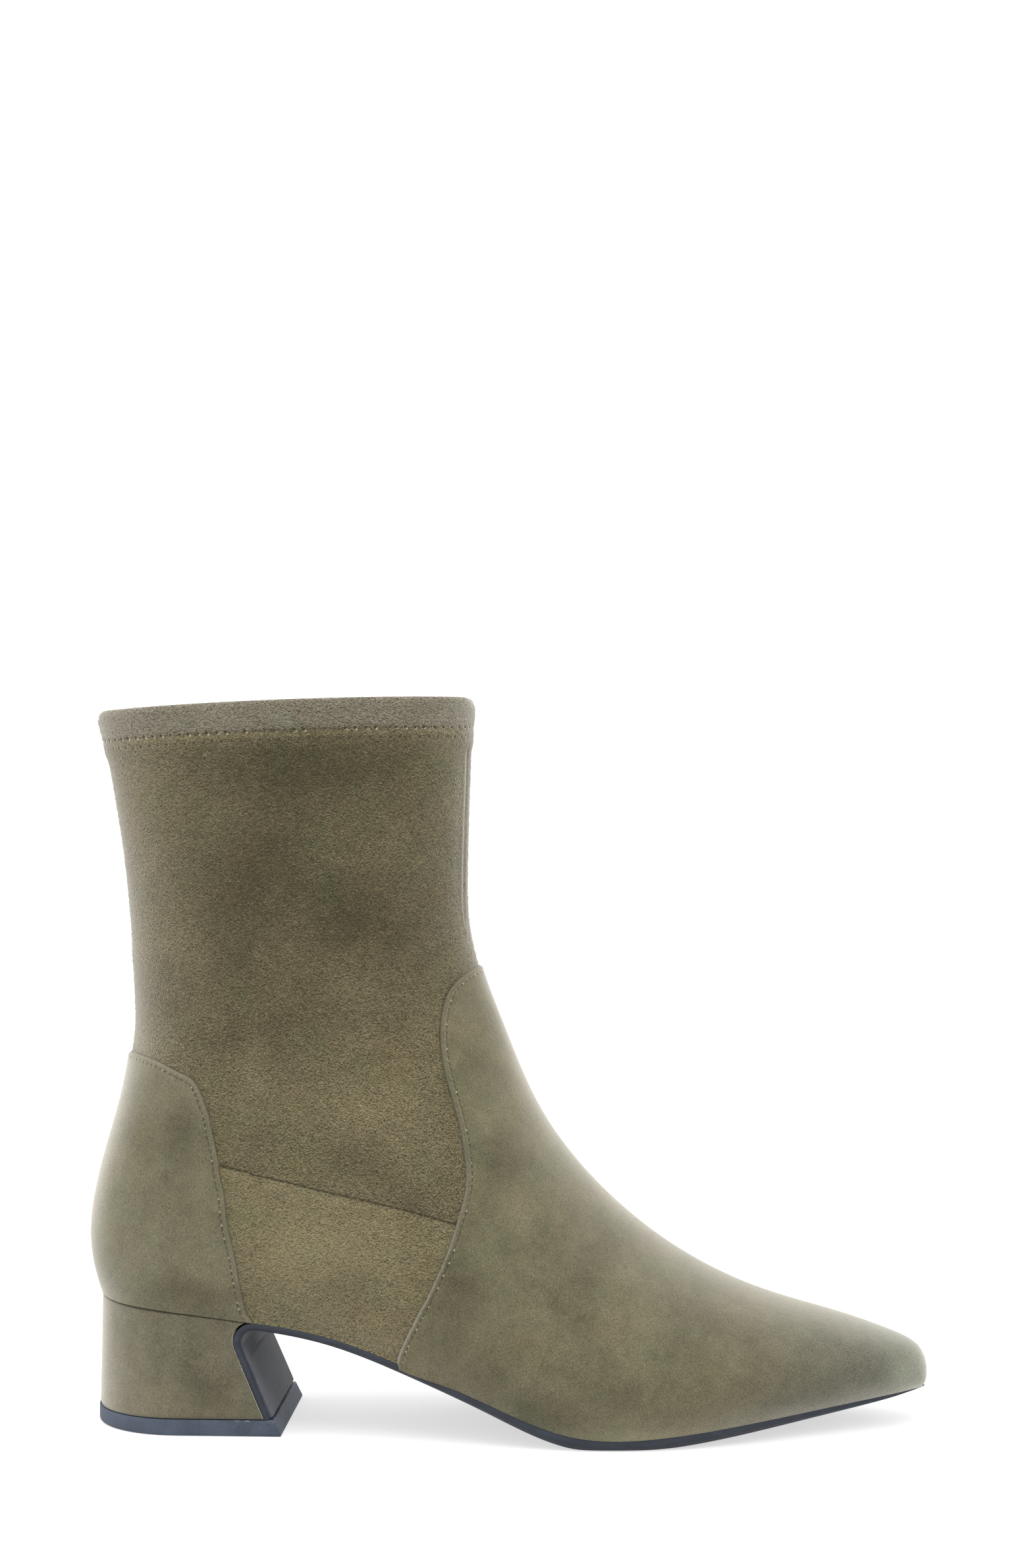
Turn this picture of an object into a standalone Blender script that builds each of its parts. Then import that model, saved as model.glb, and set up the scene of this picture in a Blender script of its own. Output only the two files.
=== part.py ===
"""Pointed short boot for the right foot, with a stretch shaft and a low block heel.

The boot stands on z = 0 with its toe along +X and its outer side at -Y. Sizes are
in millimetres and become metres when a mesh is made. One table of sections gives
the last. The upper, both overlays, the insole, the sole and the heel seat follow it.
"""

import math

import bmesh
import bpy
import numpy as np

MM = 0.001
JOIN_DISTANCE = 0.02 * MM
SHARP_ANGLE = math.radians(40.0)
SMALL_STEP = 0.001

# Layers
UPPER_WALL = 1.3
OVERLAY_WALL = 0.8
OVERLAY_GAP = 0.4
PIECE_GAP = 0.3
INSOLE_THICK = 2.0
INSOLE_INSET = 1.8
HEM_HEIGHT = 9.5
HEM_STEP = 0.5
HEM_STEP_RISE = 0.4
OVERLAY_EDGE_RISE = 0.7
COLLAR_BOW = 1.0
COLLAR_BOW_ROWS = 3.0

# Sole, heel and top lift
SOLE_MARGIN = 0.9
SOLE_TIP_SHARE = 0.2
SOLE_FULL_ROW = 3.0
SOLE_EASE = 0.5
SOLE_EDGE_SHARE = 0.55
SOLE_BEVEL = 2.2
FLAP_THICK = 2.6
HEEL_ROUND = 27.0
HEEL_FOOT_HALF = 26.2
HEEL_FOOT_BACK = -128.6
BREAST_CENTRE_X = -76.8
BREAST_CENTRE_Z = 28.9
BREAST_RADIUS = 6.0
BREAST_START = math.radians(85.0)
BREAST_LEAN = math.radians(23.0)
BREAST_TIP_X = -80.2
LIFT_TOP = 5.0
LIFT_HALF = 26.4
LIFT_BACK = -128.9
LIFT_FRONT_LOW = -67.8
LIFT_FRONT_TOP = -70.4

# The last, one row for each section from the toe tip, over the instep, to the collar.
# A section is a plane seen from the side as the line from its low end to its top end.
# foot: half-widths at the sole's edge, wide: largest half-widths, both from mid_y.
# wide_at: share of the height where it is widest, crown and back: fullness of the curve.
COLUMNS = (
    "low_x", "low_z", "top_x", "top_z", "mid_y", "foot_out", "foot_in",
    "wide_out", "wide_in", "wide_at", "crown", "back", "sole",
)
SECTIONS = (
    (130.0, 12.2, 130.0, 12.2, 5.0, 0.0, 0.0, 0.0, 0.0, 0.45, 0.00, 0.00, 1.6),
    (127.6, 12.0, 130.7, 16.4, 5.0, 4.6, 4.6, 5.6, 5.6, 0.42, 0.00, 0.00, 1.9),
    (120.5, 11.4, 128.6, 22.4, 5.0, 9.6, 9.6, 11.2, 11.2, 0.38, 0.00, 0.00, 2.3),
    (108.0, 10.1, 120.1, 27.0, 5.0, 15.8, 15.4, 17.8, 17.2, 0.34, -0.02, 0.00, 2.8),
    (90.0, 8.3, 102.2, 33.0, 4.6, 24.2, 21.8, 26.6, 23.8, 0.30, -0.05, 0.00, 3.4),
    (68.0, 6.3, 77.5, 40.5, 4.0, 34.6, 28.6, 37.4, 30.9, 0.26, -0.12, 0.00, 4.0),
    (45.0, 4.2, 52.2, 53.3, 3.2, 40.6, 33.2, 43.4, 36.0, 0.23, -0.19, 0.00, 4.2),
    (21.0, 4.9, 30.3, 70.9, 2.4, 40.9, 32.6, 44.0, 36.2, 0.21, -0.24, 0.00, 4.2),
    (-3.0, 13.2, 13.5, 90.8, 1.8, 37.4, 27.2, 41.2, 33.8, 0.21, -0.24, 0.00, 3.4),
    (-28.0, 22.9, 3.8, 109.0, 1.2, 32.6, 22.6, 37.0, 31.2, 0.23, -0.20, 0.00, 2.9),
    (-54.0, 31.6, -2.0, 123.4, 0.8, 29.0, 21.4, 33.2, 30.0, 0.26, -0.14, 0.08, 2.7),
    (-80.0, 35.8, -6.0, 133.6, 0.4, 26.6, 23.6, 30.2, 29.0, 0.30, -0.08, 0.18, 2.6),
    (-102.0, 38.3, -9.0, 142.6, 0.0, 25.6, 25.0, 28.4, 28.2, 0.34, -0.03, 0.28, 2.6),
    (-118.5, 39.6, -11.3, 152.0, 0.0, 25.4, 25.2, 27.8, 27.8, 0.38, 0.00, 0.36, 2.6),
    (-127.0, 40.6, -12.4, 161.0, 0.0, 25.4, 25.4, 27.4, 27.4, 0.404, 0.02, 0.40, 2.6),
    (-130.4, 55.5, -12.5, 171.0, 0.0, 25.4, 25.4, 27.2, 27.2, 0.412, 0.04, 0.39, 2.6),
    (-126.6, 82.0, -12.3, 182.0, 0.0, 25.4, 25.4, 26.8, 26.8, 0.408, 0.06, 0.34, 2.6),
    (-119.0, 112.0, -12.0, 193.5, 0.0, 25.4, 25.4, 26.2, 26.2, 0.413, 0.08, 0.27, 2.6),
    (-118.3, 145.0, -11.6, 205.0, 0.0, 25.4, 25.4, 25.4, 25.4, 0.436, 0.10, 0.20, 2.6),
    (-122.0, 182.0, -11.3, 216.5, 0.0, 25.4, 25.4, 25.0, 25.0, 0.466, 0.10, 0.15, 2.6),
    (-129.3, 222.7, -10.8, 227.2, 0.0, 25.4, 25.4, 25.2, 25.2, 0.50, 0.10, 0.12, 2.6),
)
SEAT_ROW = 14.0
COLLAR_ROW = float(len(SECTIONS) - 1)
TOE_GHOSTS = 2

# Edges of the overlays on the last: across is 0 on the ridge, 1 at the widest and 2 at
# the sole or the back line, along is the section row.
VAMP_EDGE = (
    (2.00, 9.15), (1.60, 9.17), (1.27, 9.15), (1.02, 9.11), (0.86, 9.07), (0.75, 9.11),
    (0.67, 9.20), (0.60, 9.50), (0.54, 10.02), (0.48, 10.85), (0.42, 11.60),
    (0.36, 12.10), (0.28, 12.26), (0.14, 12.12), (0.00, 12.02),
)
COUNTER_EDGE = (
    (1.86, 10.90), (1.70, 11.05), (1.54, 11.25), (1.37, 11.60), (1.24, 12.10), (1.14, 12.78),
    (1.102, 13.25), (1.086, 13.70), (1.087, 14.10), (1.091, 14.48), (1.099, 14.95), (1.12, 15.34),
    (1.18, 15.84), (1.28, 16.23), (1.44, 16.64), (1.62, 16.93), (1.80, 17.08), (2.00, 17.12),
)
VAMP_TOE_ROW = 0.30
COUNTER_CLOSED_ROW = 14.25

# How finely each sheet is divided
UPPER_ROWS = (
    0.30, 0.55, 0.90, 1.35, 1.80, 2.40, 3.10, 3.80, 4.60, 5.40, 6.20, 7.00, 7.70, 8.40,
    9.15, 9.80, 10.40, 10.90, 11.10, 11.40, 11.80, 12.30, 12.90, 13.40, 13.70, 13.90,
    14.00, 14.25, 14.40, 14.80, 15.30, 15.80, 16.30, 16.70, 16.92, 17.04, 17.10, 17.12,
)
SHAFT_ROW = 18.0
SHAFT_STEPS = 5
UPPER_ACROSS = (
    0.0, 0.10, 0.20, 0.29, 0.36, 0.42, 0.48, 0.54, 0.60, 0.67, 0.75, 0.86, 1.0, 1.15,
    1.30, 1.47, 1.65, 1.80, 1.91, 2.0,
)
COUNTER_FADE = 1.2
INSOLE_TOE_ROW = 0.9
SOLE_TOE_ROWS = (0.0, 0.25, 0.5, 0.75, 1.0, 1.25, 1.5)
SOLE_STEPS = 32
BREAST_ARC_STEPS = 9
BREAST_RUN_STEPS = 4
HEEL_LEVELS = (0.0, 0.04, 0.10, 0.18, 0.28, 0.40, 0.60, 0.80, 1.0)
HEEL_STRAIGHT_STEPS = 4
HEEL_ROUND_STEPS = 10
CURVE_FINE = 400


def spline(values, at, rest_row=None):
    """Smooth cubic through values given at 0, 1, 2 and so on. At rest_row it comes to
    rest, so that a corner can be turned there."""
    values = np.asarray(values, float)
    count = len(values)
    system = np.eye(count) * 4.0
    right = np.zeros(count)
    for i in range(count):
        before = max(i - 1, 0)
        after = min(i + 1, count - 1)
        right[i] = 3.0 * (values[after] - values[before])
        if i == rest_row:
            right[i] = 0.0
            continue
        system[i, i] = 2.0 * (after - before)
        system[i, before] += float(before < i)
        system[i, after] += float(after > i)
    slope = np.linalg.solve(system, right)
    left = np.clip(np.floor(at).astype(int), 0, count - 2)
    f = at - left
    rise = values[left + 1] - values[left]
    start = slope[left] - rise
    end = rise - slope[left + 1]
    return values[left] + rise * f + f * (1.0 - f) * (start * (1.0 - f) + end * f)


def last_table():
    """The sections with two more before the toe tip, so that the nose is round: there
    low and top change places and the half-widths change sign."""
    rows = np.array(SECTIONS)
    ghosts = rows[TOE_GHOSTS:0:-1].copy()
    ghosts[:, [0, 1, 2, 3]] = ghosts[:, [2, 3, 0, 1]]
    ghosts[:, 5:9] *= -1.0
    return np.vstack([ghosts, rows])


LAST = last_table()


def column(name, along):
    """One column of the sections at any row. The low end turns a corner at the heel seat."""
    rest_row = SEAT_ROW + TOE_GHOSTS if name.startswith("low") else None
    values = LAST[:, COLUMNS.index(name)]
    return spline(values, np.asarray(along, float) + TOE_GHOSTS, rest_row)


def foot_widths(along):
    """Half-widths at the sole's edge, rounded off round the heel and none above it."""
    along = np.asarray(along, float)
    round_from = SECTIONS[int(SEAT_ROW)][0] + HEEL_ROUND
    past = np.clip((round_from - column("low_x", along)) / HEEL_ROUND, 0.0, 1.0)
    rounding = np.where(along < SEAT_ROW, np.sqrt(1.0 - past**2), 0.0)
    return column("foot_out", along) * rounding, column("foot_in", along) * rounding


def last_point(along, across):
    """Point of the last. across runs from -2 at the outer sole edge over the ridge at 0
    to 2 at the inner edge: a quarter turn from the edge out to the widest place, and a
    quarter turn from there up to the ridge."""
    along, across = np.broadcast_arrays(np.asarray(along, float), np.asarray(across, float))
    foot_out, foot_in = foot_widths(along)
    outer = across < 0
    foot = np.where(outer, foot_out, foot_in)
    wide = np.where(outer, column("wide_out", along), column("wide_in", along))
    share = column("wide_at", along)
    upper = np.abs(across) <= 1.0
    turn = (np.where(upper, 1.0, 2.0) - np.abs(across)) * math.pi / 2.0
    sine = np.sin(turn)
    cosine = np.cos(turn)
    upper_y = wide * cosine * (1.0 + column("crown", along) * sine**2)
    bulge = sine * (1.0 + column("back", along) * cosine**2)
    lower_y = np.sqrt(foot**2 + (wide**2 - foot**2) * bulge**2)
    y = np.where(upper, upper_y, lower_y)
    rise = np.where(upper, share + (1.0 - share) * sine, share * (1.0 - cosine))
    low_x = column("low_x", along)
    low_z = column("low_z", along)
    near_collar = np.clip((along - COLLAR_ROW) / COLLAR_BOW_ROWS + 1.0, 0.0, 1.0) ** 2
    bow = COLLAR_BOW * near_collar * 4.0 * rise * (1.0 - rise)
    return np.stack(
        [
            low_x + (column("top_x", along) - low_x) * rise,
            column("mid_y", along) + np.sign(across) * y,
            low_z + (column("top_z", along) - low_z) * rise + bow,
        ],
        axis=-1,
    )


def last_normal(along, across):
    """Outward direction square to the last, from small steps along and across."""
    along, across = np.broadcast_arrays(np.asarray(along, float), np.asarray(across, float))
    across = np.clip(across, -2.0 + 2.0 * SMALL_STEP, 2.0 - 2.0 * SMALL_STEP)
    on = np.minimum(along + SMALL_STEP, COLLAR_ROW)
    off = np.maximum(along - SMALL_STEP, SMALL_STEP)
    normal = np.cross(
        last_point(along, across + SMALL_STEP) - last_point(along, across - SMALL_STEP),
        last_point(on, across) - last_point(off, across),
    )
    return normal / np.linalg.norm(normal, axis=-1, keepdims=True)


def lifted(along, across, lift):
    """Points at a height above the last, or below it where the lift is negative."""
    return last_point(along, across) + np.asarray(lift)[..., None] * last_normal(along, across)


def edge_curve(edge, count):
    """across and along at evenly numbered places on a smooth curve through an edge table."""
    at = np.linspace(0.0, len(edge) - 1.0, count)
    table = np.array(edge)
    return spline(table[:, 0], at), spline(table[:, 1], at)


def both_sides(half):
    """The across values from the outer side over the ridge to the inner side."""
    half = np.asarray(half)
    return np.concatenate([-half[::-1], half[1:]])


def finish(name, colour, roughness):
    """A plain material of one colour."""
    material = bpy.data.materials.new(name)
    material.use_nodes = True
    shader = material.node_tree.nodes["Principled BSDF"]
    shader.inputs["Base Color"].default_value = (*colour, 1.0)
    shader.inputs["Roughness"].default_value = roughness
    shader.inputs["Metallic"].default_value = 0.0
    return material


def tidy(shape):
    """Joins points that meet and drops the faces that close up."""
    bmesh.ops.remove_doubles(shape, verts=shape.verts, dist=JOIN_DISTANCE)
    bmesh.ops.dissolve_degenerate(shape, edges=shape.edges, dist=JOIN_DISTANCE)


def add_object(name, shape, material):
    """One object from a closed shape, with its faces turned outwards."""
    bmesh.ops.recalc_face_normals(shape, faces=shape.faces)
    mesh = bpy.data.meshes.new(name)
    shape.to_mesh(mesh)
    shape.free()
    mesh.materials.append(material)
    mesh.shade_smooth()
    mesh.set_sharp_from_angle(angle=SHARP_ANGLE)
    obj = bpy.data.objects.new(name, mesh)
    bpy.context.scene.collection.objects.link(obj)
    return obj


def grid_faces(rows, columns, closed=False):
    """Quads of a grid, with its last column joined to its first where it is closed."""
    faces = []
    for i in range(rows - 1):
        for j in range(columns if closed else columns - 1):
            k = (j + 1) % columns
            faces.append((i * columns + j, i * columns + k, (i + 1) * columns + k, (i + 1) * columns + j))
    return faces


def add_sheet(name, outside, inside, faces, material):
    """A wall between an outside and an inside, point for point, closed along its edges.
    Outside points that meet are joined first."""
    shape = bmesh.new()
    behind = shape.verts.layers.float_vector.new("behind")
    corners = []
    for point, back in zip(outside.reshape(-1, 3), inside.reshape(-1, 3)):
        corners.append(shape.verts.new(point * MM))
        corners[-1][behind] = back * MM
    for face in faces:
        shape.faces.new([corners[i] for i in face])
    tidy(shape)
    outer_faces = list(shape.faces)
    edges = [edge for edge in shape.edges if edge.is_boundary]
    inner = {corner: shape.verts.new(corner[behind]) for corner in list(shape.verts)}
    for face in outer_faces:
        first, *others = face.verts
        shape.faces.new([inner[corner] for corner in (first, *reversed(others))])
    for edge in edges:
        start = edge.link_loops[0].vert
        end = edge.other_vert(start)
        shape.faces.new((end, start, inner[start], inner[end]))
    return add_object(name, shape, material)


def add_loft(name, loops, material):
    """A solid through closed loops, each one side and then the other side turned round.
    The end loops are closed by rungs from side to side."""
    count, around = loops.shape[:2]
    faces = grid_faces(count, around, closed=True)
    for first in (0, (count - 1) * around):
        for i in range(around // 2 - 1):
            far = around - 1 - i
            faces.append((first + i, first + i + 1, first + far - 1, first + far))
    shape = bmesh.new()
    corners = [shape.verts.new(point * MM) for point in loops.reshape(-1, 3)]
    for face in faces:
        shape.faces.new([corners[i] for i in face])
    tidy(shape)
    return add_object(name, shape, material)


def make_upper(material):
    """The stretch upper: one sheet from the sole's edge over the foot and up the shaft,
    open underneath and at the collar, with the folded hem as a step in its wall."""
    across = both_sides(UPPER_ACROSS)
    rise_per_row = np.linalg.norm(
        last_point(COLLAR_ROW, across) - last_point(COLLAR_ROW - SMALL_STEP, across), axis=-1
    ) / SMALL_STEP
    hem_row = COLLAR_ROW - HEM_HEIGHT / rise_per_row
    under_hem = hem_row - HEM_STEP_RISE / rise_per_row
    along = [np.full_like(across, row) for row in UPPER_ROWS]
    for share in np.linspace(0.0, 1.0, SHAFT_STEPS):
        along.append(SHAFT_ROW + (under_hem - SHAFT_ROW) * share)
    along.append(hem_row)
    along.append(np.full_like(across, COLLAR_ROW))
    along = np.array(along)
    lift = np.zeros_like(along)
    lift[-2:] = HEM_STEP
    outside = lifted(along, across, lift)
    inside = lifted(along, across, lift - UPPER_WALL)
    return add_sheet("upper", outside, inside, grid_faces(*along.shape), material)


def edge_turn(along):
    """How far across the overlays stop short of the sole's edge, to clear the sole."""
    start = last_point(along, np.full_like(along, -2.0))
    end = last_point(along, np.zeros_like(along))
    height = np.linalg.norm((end - start)[..., [0, 2]], axis=-1)
    lower_part = column("wide_at", along) * height
    return np.arccos(np.maximum(1.0 - OVERLAY_EDGE_RISE / lower_part, -1.0)) * 2.0 / math.pi


def make_vamp(material):
    """The vamp over the toe with its tab up the front: the upper's own rows from the toe,
    each stopped at the edge."""
    edge_across, edge_along = edge_curve(VAMP_EDGE, CURVE_FINE)
    across = both_sides(UPPER_ACROSS)
    edge = np.interp(np.abs(across), edge_across[::-1], edge_along[::-1])
    rows = np.array(UPPER_ROWS)[:, None]
    along = np.clip(rows, VAMP_TOE_ROW, edge)
    lowest = 2.0 - edge_turn(along)
    size = np.minimum(np.abs(across), lowest)
    inside = lifted(along, np.sign(across) * size, OVERLAY_GAP)
    outside = lifted(along, np.sign(across) * size, OVERLAY_GAP + OVERLAY_WALL)
    return add_sheet("vamp", outside, inside, grid_faces(*along.shape), material)


def make_counter(material):
    """The counter round the heel: the upper's own rows, each stopped at the edge. Its two
    sides join along the back line above the seat."""
    edge_across, edge_along = edge_curve(COUNTER_EDGE, CURVE_FINE)
    rows = np.array([row for row in UPPER_ROWS if row >= COUNTER_EDGE[0][1]])[:, None]
    edge = np.interp(rows, edge_along, edge_across)
    fade = np.sqrt(np.clip((COUNTER_CLOSED_ROW - rows) / COUNTER_FADE, 0.0, 1.0))
    lowest = np.maximum(2.0 - edge_turn(rows) * fade, edge)
    half = np.array([across for across in UPPER_ACROSS if across >= 1.0])
    half = np.clip(half, edge, lowest)
    across = np.stack([-half[:, ::-1], half])
    inside = lifted(rows, across, OVERLAY_GAP)
    outside = lifted(rows, across, OVERLAY_GAP + OVERLAY_WALL)
    side = grid_faces(*half.shape)
    faces = side + [tuple(i + half.size for i in face) for face in side]
    return add_sheet("counter", outside, inside, faces, material)


def foot_edge(along, side, margin):
    """The sole's edge line on one side, -1 outer or 1 inner, moved outwards in plan."""
    along = np.clip(np.asarray(along, float), 0.0, SEAT_ROW)

    def plan(at):
        half = foot_widths(at)[0 if side < 0 else 1]
        return np.stack([column("low_x", at), column("mid_y", at) + side * half], axis=-1)

    run = plan(np.minimum(along + SMALL_STEP, SEAT_ROW)) - plan(along - SMALL_STEP)
    run /= np.linalg.norm(run, axis=-1, keepdims=True)
    out = -side * np.stack([-run[..., 1], run[..., 0]], axis=-1)
    edge = plan(along) + np.asarray(margin)[..., None] * out
    return np.concatenate([edge, column("low_z", along)[..., None]], axis=-1), out


def make_insole(material):
    """The insole board, inside the upper's lower edge from the toe to the heel."""
    along = np.array([row for row in UPPER_ROWS if INSOLE_TOE_ROW <= row <= SEAT_ROW])
    loop = []
    for side in (-1.0, 1.0):
        edge = foot_edge(along, side, -INSOLE_INSET)[0]
        top = edge + (0.0, 0.0, INSOLE_THICK)
        loop += [edge, top] if side < 0 else [top, edge]
    return add_loft("insole", np.stack(loop, axis=1), material)


def breast_path():
    """Side view of the sole's back face where it turns down the heel breast: an arc and
    then a straight run to the top lift, with the direction out of that face."""
    bend = np.linspace(BREAST_START, math.pi + BREAST_LEAN, BREAST_ARC_STEPS)
    out = np.stack([np.cos(bend), np.sin(bend)], axis=-1)
    arc = np.array([BREAST_CENTRE_X, BREAST_CENTRE_Z]) + BREAST_RADIUS * out
    fall = arc[-1, 1] - LIFT_TOP - PIECE_GAP
    run = np.linspace(0.0, fall, BREAST_RUN_STEPS + 1)[1:, None]
    straight = arc[-1] + run * np.array([math.tan(BREAST_LEAN), -1.0])
    return np.vstack([arc, straight]), np.vstack([out, np.repeat(out[-1:], BREAST_RUN_STEPS, axis=0)])


def above_floor(height):
    """Heights with everything below the floor brought up to it, eased in over a short rise."""
    eased = (height + SOLE_EASE) ** 2 / (4.0 * SOLE_EASE)
    eased = np.where(height < -SOLE_EASE, 0.0, eased)
    return np.where(height > SOLE_EASE, height, eased)


def make_outsole(material):
    """The sole from the toe to the heel and down its breast, with a bevelled lower edge.
    Its underside is cut flat on the floor under the ball."""
    path, path_out = breast_path()
    rows = np.linspace(0.0, SEAT_ROW, CURVE_FINE)
    last_row = np.interp(-path[0, 0], -column("low_x", rows), rows)
    along = np.linspace(SOLE_TOE_ROWS[-1], last_row, SOLE_STEPS)
    along = np.concatenate([SOLE_TOE_ROWS[:-1], along])
    slope = np.gradient(column("low_z", along), column("low_x", along))
    up = np.stack([-slope, np.ones_like(slope)], axis=-1) / np.sqrt(1.0 + slope**2)[:, None]
    thick = column("sole", along)
    margin = SOLE_MARGIN * np.clip(SOLE_TIP_SHARE + along / SOLE_FULL_ROW, 0.0, 1.0)
    share = np.linspace(0.0, 1.0, len(path))
    loop = []
    for side in (-1.0, 1.0):
        edge, out = foot_edge(along, side, margin)
        edge[:, 2] -= PIECE_GAP
        flap_y = edge[-1, 1] + (side * HEEL_FOOT_HALF - edge[-1, 1]) * share
        flap = np.stack([path[:, 0], flap_y, path[:, 1]], axis=-1)
        lines = []
        for depth, inset in ((0.0, 0.0), (SOLE_EDGE_SHARE, 0.0), (1.0, SOLE_BEVEL)):
            sole = edge.copy()
            sole[:, [0, 2]] -= (depth * thick)[:, None] * up
            reach = np.minimum(inset, 0.5 * np.abs(edge[:, 1] - column("mid_y", along)))
            sole[:, :2] -= reach[:, None] * out
            sole[:, 2] = above_floor(sole[:, 2])
            turned = flap.copy()
            turned[:, [0, 2]] -= depth * FLAP_THICK * path_out
            turned[:, 1] -= side * inset * (1.0 - share) ** 2
            lines.append(np.vstack([sole, turned[1:]]))
        loop += lines if side < 0 else lines[::-1]
    return add_loft("outsole", np.stack(loop, axis=1), material)


def breast_x(height):
    """Front of the heel block at a height: just behind the sole's turned-down flap."""
    reach = BREAST_RADIUS + PIECE_GAP
    arc_end = BREAST_CENTRE_Z - reach * math.sin(BREAST_LEAN)
    over = np.sqrt(np.maximum(reach**2 - (height - BREAST_CENTRE_Z) ** 2, 0.0))
    end_x = BREAST_CENTRE_X - reach * math.cos(BREAST_LEAN)
    straight = end_x + (arc_end - height) * math.tan(BREAST_LEAN)
    x = np.where(height > arc_end, BREAST_CENTRE_X - over, straight)
    return np.where(height > BREAST_CENTRE_Z, np.minimum(x, BREAST_TIP_X), x)


def round_back(front_x, back_x, reach):
    """Places from front to back along one side of a heel: even steps, then a quarter round.
    Gives x and the share of the half-width there."""
    centre = back_x + reach
    steps = np.linspace(0.0, 1.0, HEEL_STRAIGHT_STEPS, endpoint=False)
    turn = np.linspace(0.0, math.pi / 2.0, HEEL_ROUND_STEPS)
    x = np.concatenate([front_x + (centre - front_x) * steps, centre - reach * np.sin(turn)])
    return x, np.concatenate([np.ones_like(steps), np.cos(turn)])


def make_heel_block(material):
    """The covered heel block: its top follows the heel seat, its foot is level and its
    front is hollowed for the flap."""
    seat_rows = np.linspace(0.0, SEAT_ROW, CURVE_FINE)
    seat_x = -column("low_x", seat_rows)
    foot = LIFT_TOP + PIECE_GAP
    seat_back = SECTIONS[int(SEAT_ROW)][0] - SOLE_MARGIN
    tip_z = np.interp(-BREAST_TIP_X, seat_x, column("low_z", seat_rows)) - PIECE_GAP
    loops = []
    for level in HEEL_LEVELS:
        front = breast_x(tip_z + (foot - tip_z) * level)
        back = seat_back + (HEEL_FOOT_BACK - seat_back) * level
        x, share = round_back(front, back, HEEL_ROUND + SOLE_MARGIN)
        row = np.interp(-x, seat_x, seat_rows)
        top = np.interp(-x, seat_x, column("low_z", seat_rows)) - PIECE_GAP
        z = top + (foot - top) * level
        sides = []
        for side, name in ((-1.0, "foot_out"), (1.0, "foot_in")):
            half = column(name, row) + SOLE_MARGIN + side * column("mid_y", row)
            half = half + (HEEL_FOOT_HALF - half) * level
            sides.append(np.stack([x, side * half * share, z], axis=-1))
        loops.append(np.vstack([sides[0], sides[1][::-1]]))
    return add_loft("heel_block", np.array(loops), material)


def make_top_lift(material):
    """The wear piece under the heel, flat on the floor, with a leaning front."""
    loops = []
    for z, front in ((0.0, LIFT_FRONT_LOW), (LIFT_TOP, LIFT_FRONT_TOP)):
        x, share = round_back(front, LIFT_BACK, HEEL_ROUND + SOLE_MARGIN)
        side = np.stack([x, -LIFT_HALF * share, np.full_like(x, z)], axis=-1)
        loops.append(np.vstack([side, side[::-1] * (1.0, -1.0, 1.0)]))
    return add_loft("top_lift", np.array(loops), material)


def main():
    for obj in list(bpy.data.objects):
        bpy.data.objects.remove(obj)
    make_upper(finish("stretch_suede", (0.150, 0.128, 0.078), 0.95))
    make_vamp(finish("vamp_suede", (0.158, 0.140, 0.088), 0.95))
    make_counter(finish("counter_suede", (0.150, 0.132, 0.082), 0.95))
    make_insole(finish("insole_board", (0.45, 0.38, 0.28), 0.80))
    make_outsole(finish("sole_rubber", (0.040, 0.046, 0.058), 0.55))
    make_heel_block(finish("heel_suede", (0.150, 0.132, 0.082), 0.95))
    make_top_lift(finish("lift_rubber", (0.022, 0.024, 0.028), 0.50))


main()
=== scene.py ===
"""Looks of the pointed short boot: stretch suede shaft, suede overlays and heel, thin sole.

Each piece is a surface worked out on the boot's last, in millimetres, and put into a
mesh in metres. The boot stands on z = 0 with its toe along +X and its outer side at -Y.
"""

import math

import bmesh
import bpy
import numpy as np
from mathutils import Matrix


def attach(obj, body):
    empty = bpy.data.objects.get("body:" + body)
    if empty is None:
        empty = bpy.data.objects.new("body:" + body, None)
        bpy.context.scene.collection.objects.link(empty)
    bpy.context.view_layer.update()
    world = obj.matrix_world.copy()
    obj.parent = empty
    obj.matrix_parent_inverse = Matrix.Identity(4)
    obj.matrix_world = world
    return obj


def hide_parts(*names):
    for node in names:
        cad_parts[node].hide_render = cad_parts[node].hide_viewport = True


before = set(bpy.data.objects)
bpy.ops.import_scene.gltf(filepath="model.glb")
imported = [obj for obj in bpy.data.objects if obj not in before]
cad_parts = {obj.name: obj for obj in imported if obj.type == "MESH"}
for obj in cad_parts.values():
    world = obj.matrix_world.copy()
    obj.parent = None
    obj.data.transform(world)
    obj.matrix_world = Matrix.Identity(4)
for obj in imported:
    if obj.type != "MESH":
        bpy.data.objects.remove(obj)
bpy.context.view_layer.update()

MM = 0.001
BODY = "root"
SMALL_STEP = 0.001
TINY = 1e-9
JOIN_DISTANCE = 0.004 * MM

# Layers
UPPER_WALL = 1.3
OVERLAY_LIFT = 1.2
EDGE_LIFT = 0.2
EDGE_ROUND = 1.35
EDGE_PUFF = 0.05
EDGE_PUFF_AT = 1.1
EDGE_PUFF_WIDTH = 0.7
STITCH_IN = 1.8
STITCH_DEPTH = 0.15
STITCH_WIDTH = 0.5
VAMP_HANG = 1.4
VAMP_HANG_ROW = 8.3
VAMP_HANG_ACROSS = 1.8
LIP_IN = 1.6
FOOT_BULGE = 0.8
FOOT_BULGE_ROWS = (12.5, 11.5)
FOOT_BULGE_ACROSS = 1.85
LINING_GAP = 0.1
PIECE_GAP = 0.3

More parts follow.
